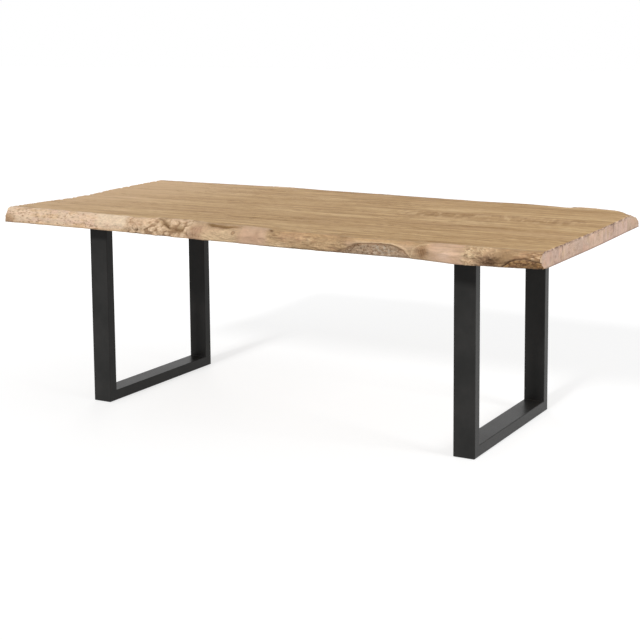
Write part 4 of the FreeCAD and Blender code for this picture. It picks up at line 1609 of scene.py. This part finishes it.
# %% [markdown]
# ## Welds
#
# The tubes are welded all round under the top plate, and with one bead in each inner
# corner at the rail. A bead is a row of frozen drops. It is made by extruding a small
# circle along the joint, a drop at a time, and by swelling and pinching it in turn. The
# outer seams of the mitres are ground flush before coating, so they leave nothing to see.

# %% One bead
BEAD_RADIUS = 0.0032
BEAD_SIDES = 10
DROP_PITCH = 0.0022
# How thin the bead is between two drops, as a share of its radius.
PINCH = 0.86
# How far a bead stops short of the corner of the tube.
EDGE_GAP = 0.003
BEAD_SMOOTH_ANGLE = math.radians(60)


def weld_bead(name, length):
    """A bead along X about the origin, swollen and pinched at every drop."""
    bead = start_piece(
        name,
        bpy.ops.mesh.primitive_circle_add,
        vertices=BEAD_SIDES,
        radius=BEAD_RADIUS * PINCH,
        fill_type="NGON",
        location=(-length / 2, 0, 0),
        rotation=(0, math.pi / 2, 0),
    )
    bpy.ops.object.mode_set(mode="EDIT")
    bpy.ops.mesh.select_all(action="SELECT")
    steps = 2 * round(length / DROP_PITCH / 2)
    for step in range(steps):
        bpy.ops.mesh.extrude_region_move()
        bpy.ops.transform.translate(value=(length / steps, 0, 0))
        grow = 1 / PINCH if step % 2 == 0 else PINCH
        middle = (length * (step + 1) / steps - length / 2, 0, 0)
        bpy.ops.transform.resize(value=(1, grow, grow), center_override=middle)
    bpy.ops.mesh.select_all(action="SELECT")
    bpy.ops.mesh.normals_make_consistent(inside=False)
    bpy.ops.object.mode_set(mode="OBJECT")
    bpy.ops.object.shade_smooth_by_angle(angle=BEAD_SMOOTH_ANGLE)
    return bead


# %% Weld both frames
def joints_of(side):
    """Middle, length and direction of each welded joint of a frame."""
    rail_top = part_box(f"{side}_frame_bottom_rail")[1].z
    under_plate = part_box(f"{side}_frame_top_plate")[0].z
    joints = []
    for post, inner in (("front", 1), ("back", 0)):
        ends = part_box(f"{side}_frame_{post}_post")
        middle = (ends[0] + ends[1]) / 2
        width = ends[1].x - ends[0].x - 2 * EDGE_GAP
        depth = ends[1].y - ends[0].y - 2 * EDGE_GAP
        rail_corner = (middle.x, ends[inner].y, rail_top)
        joints.append((rail_corner, width, "X"))
        for end in ends:
            joints.append(((middle.x, end.y, under_plate), width, "X"))
            joints.append(((end.x, middle.y, under_plate), depth, "Y"))
    return joints


for side in ("left", "right"):
    beads = []
    for number, (middle, length, along) in enumerate(joints_of(side)):
        bead = weld_bead(f"{side}_bead_{number}", length)
        bead.rotation_euler.z = math.pi / 2 if along == "Y" else 0.0
        bead.location = middle
        bpy.ops.object.transform_apply(location=True, rotation=True, scale=True)
        beads.append(bead)
    for bead in beads:
        bead.select_set(True)
    bpy.ops.object.join()
    welds = bpy.context.object
    welds.name = f"{side}_frame_welds"
    welds.data.name = welds.name
    welds.data.materials.append(STEEL)
    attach(welds, "root")
    print(welds.name, len(beads), "beads", len(welds.data.polygons), "faces")

# %% Dress the solids that stay
for name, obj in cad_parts.items():
    if "_frame_" not in name:
        continue
    part = name.rsplit("_", 1)[1]
    material = METALS.get(part) or (NYLON if part == "glides" else STEEL)
    obj.data.materials.clear()
    obj.data.materials.append(material)
    print(name, material.name)
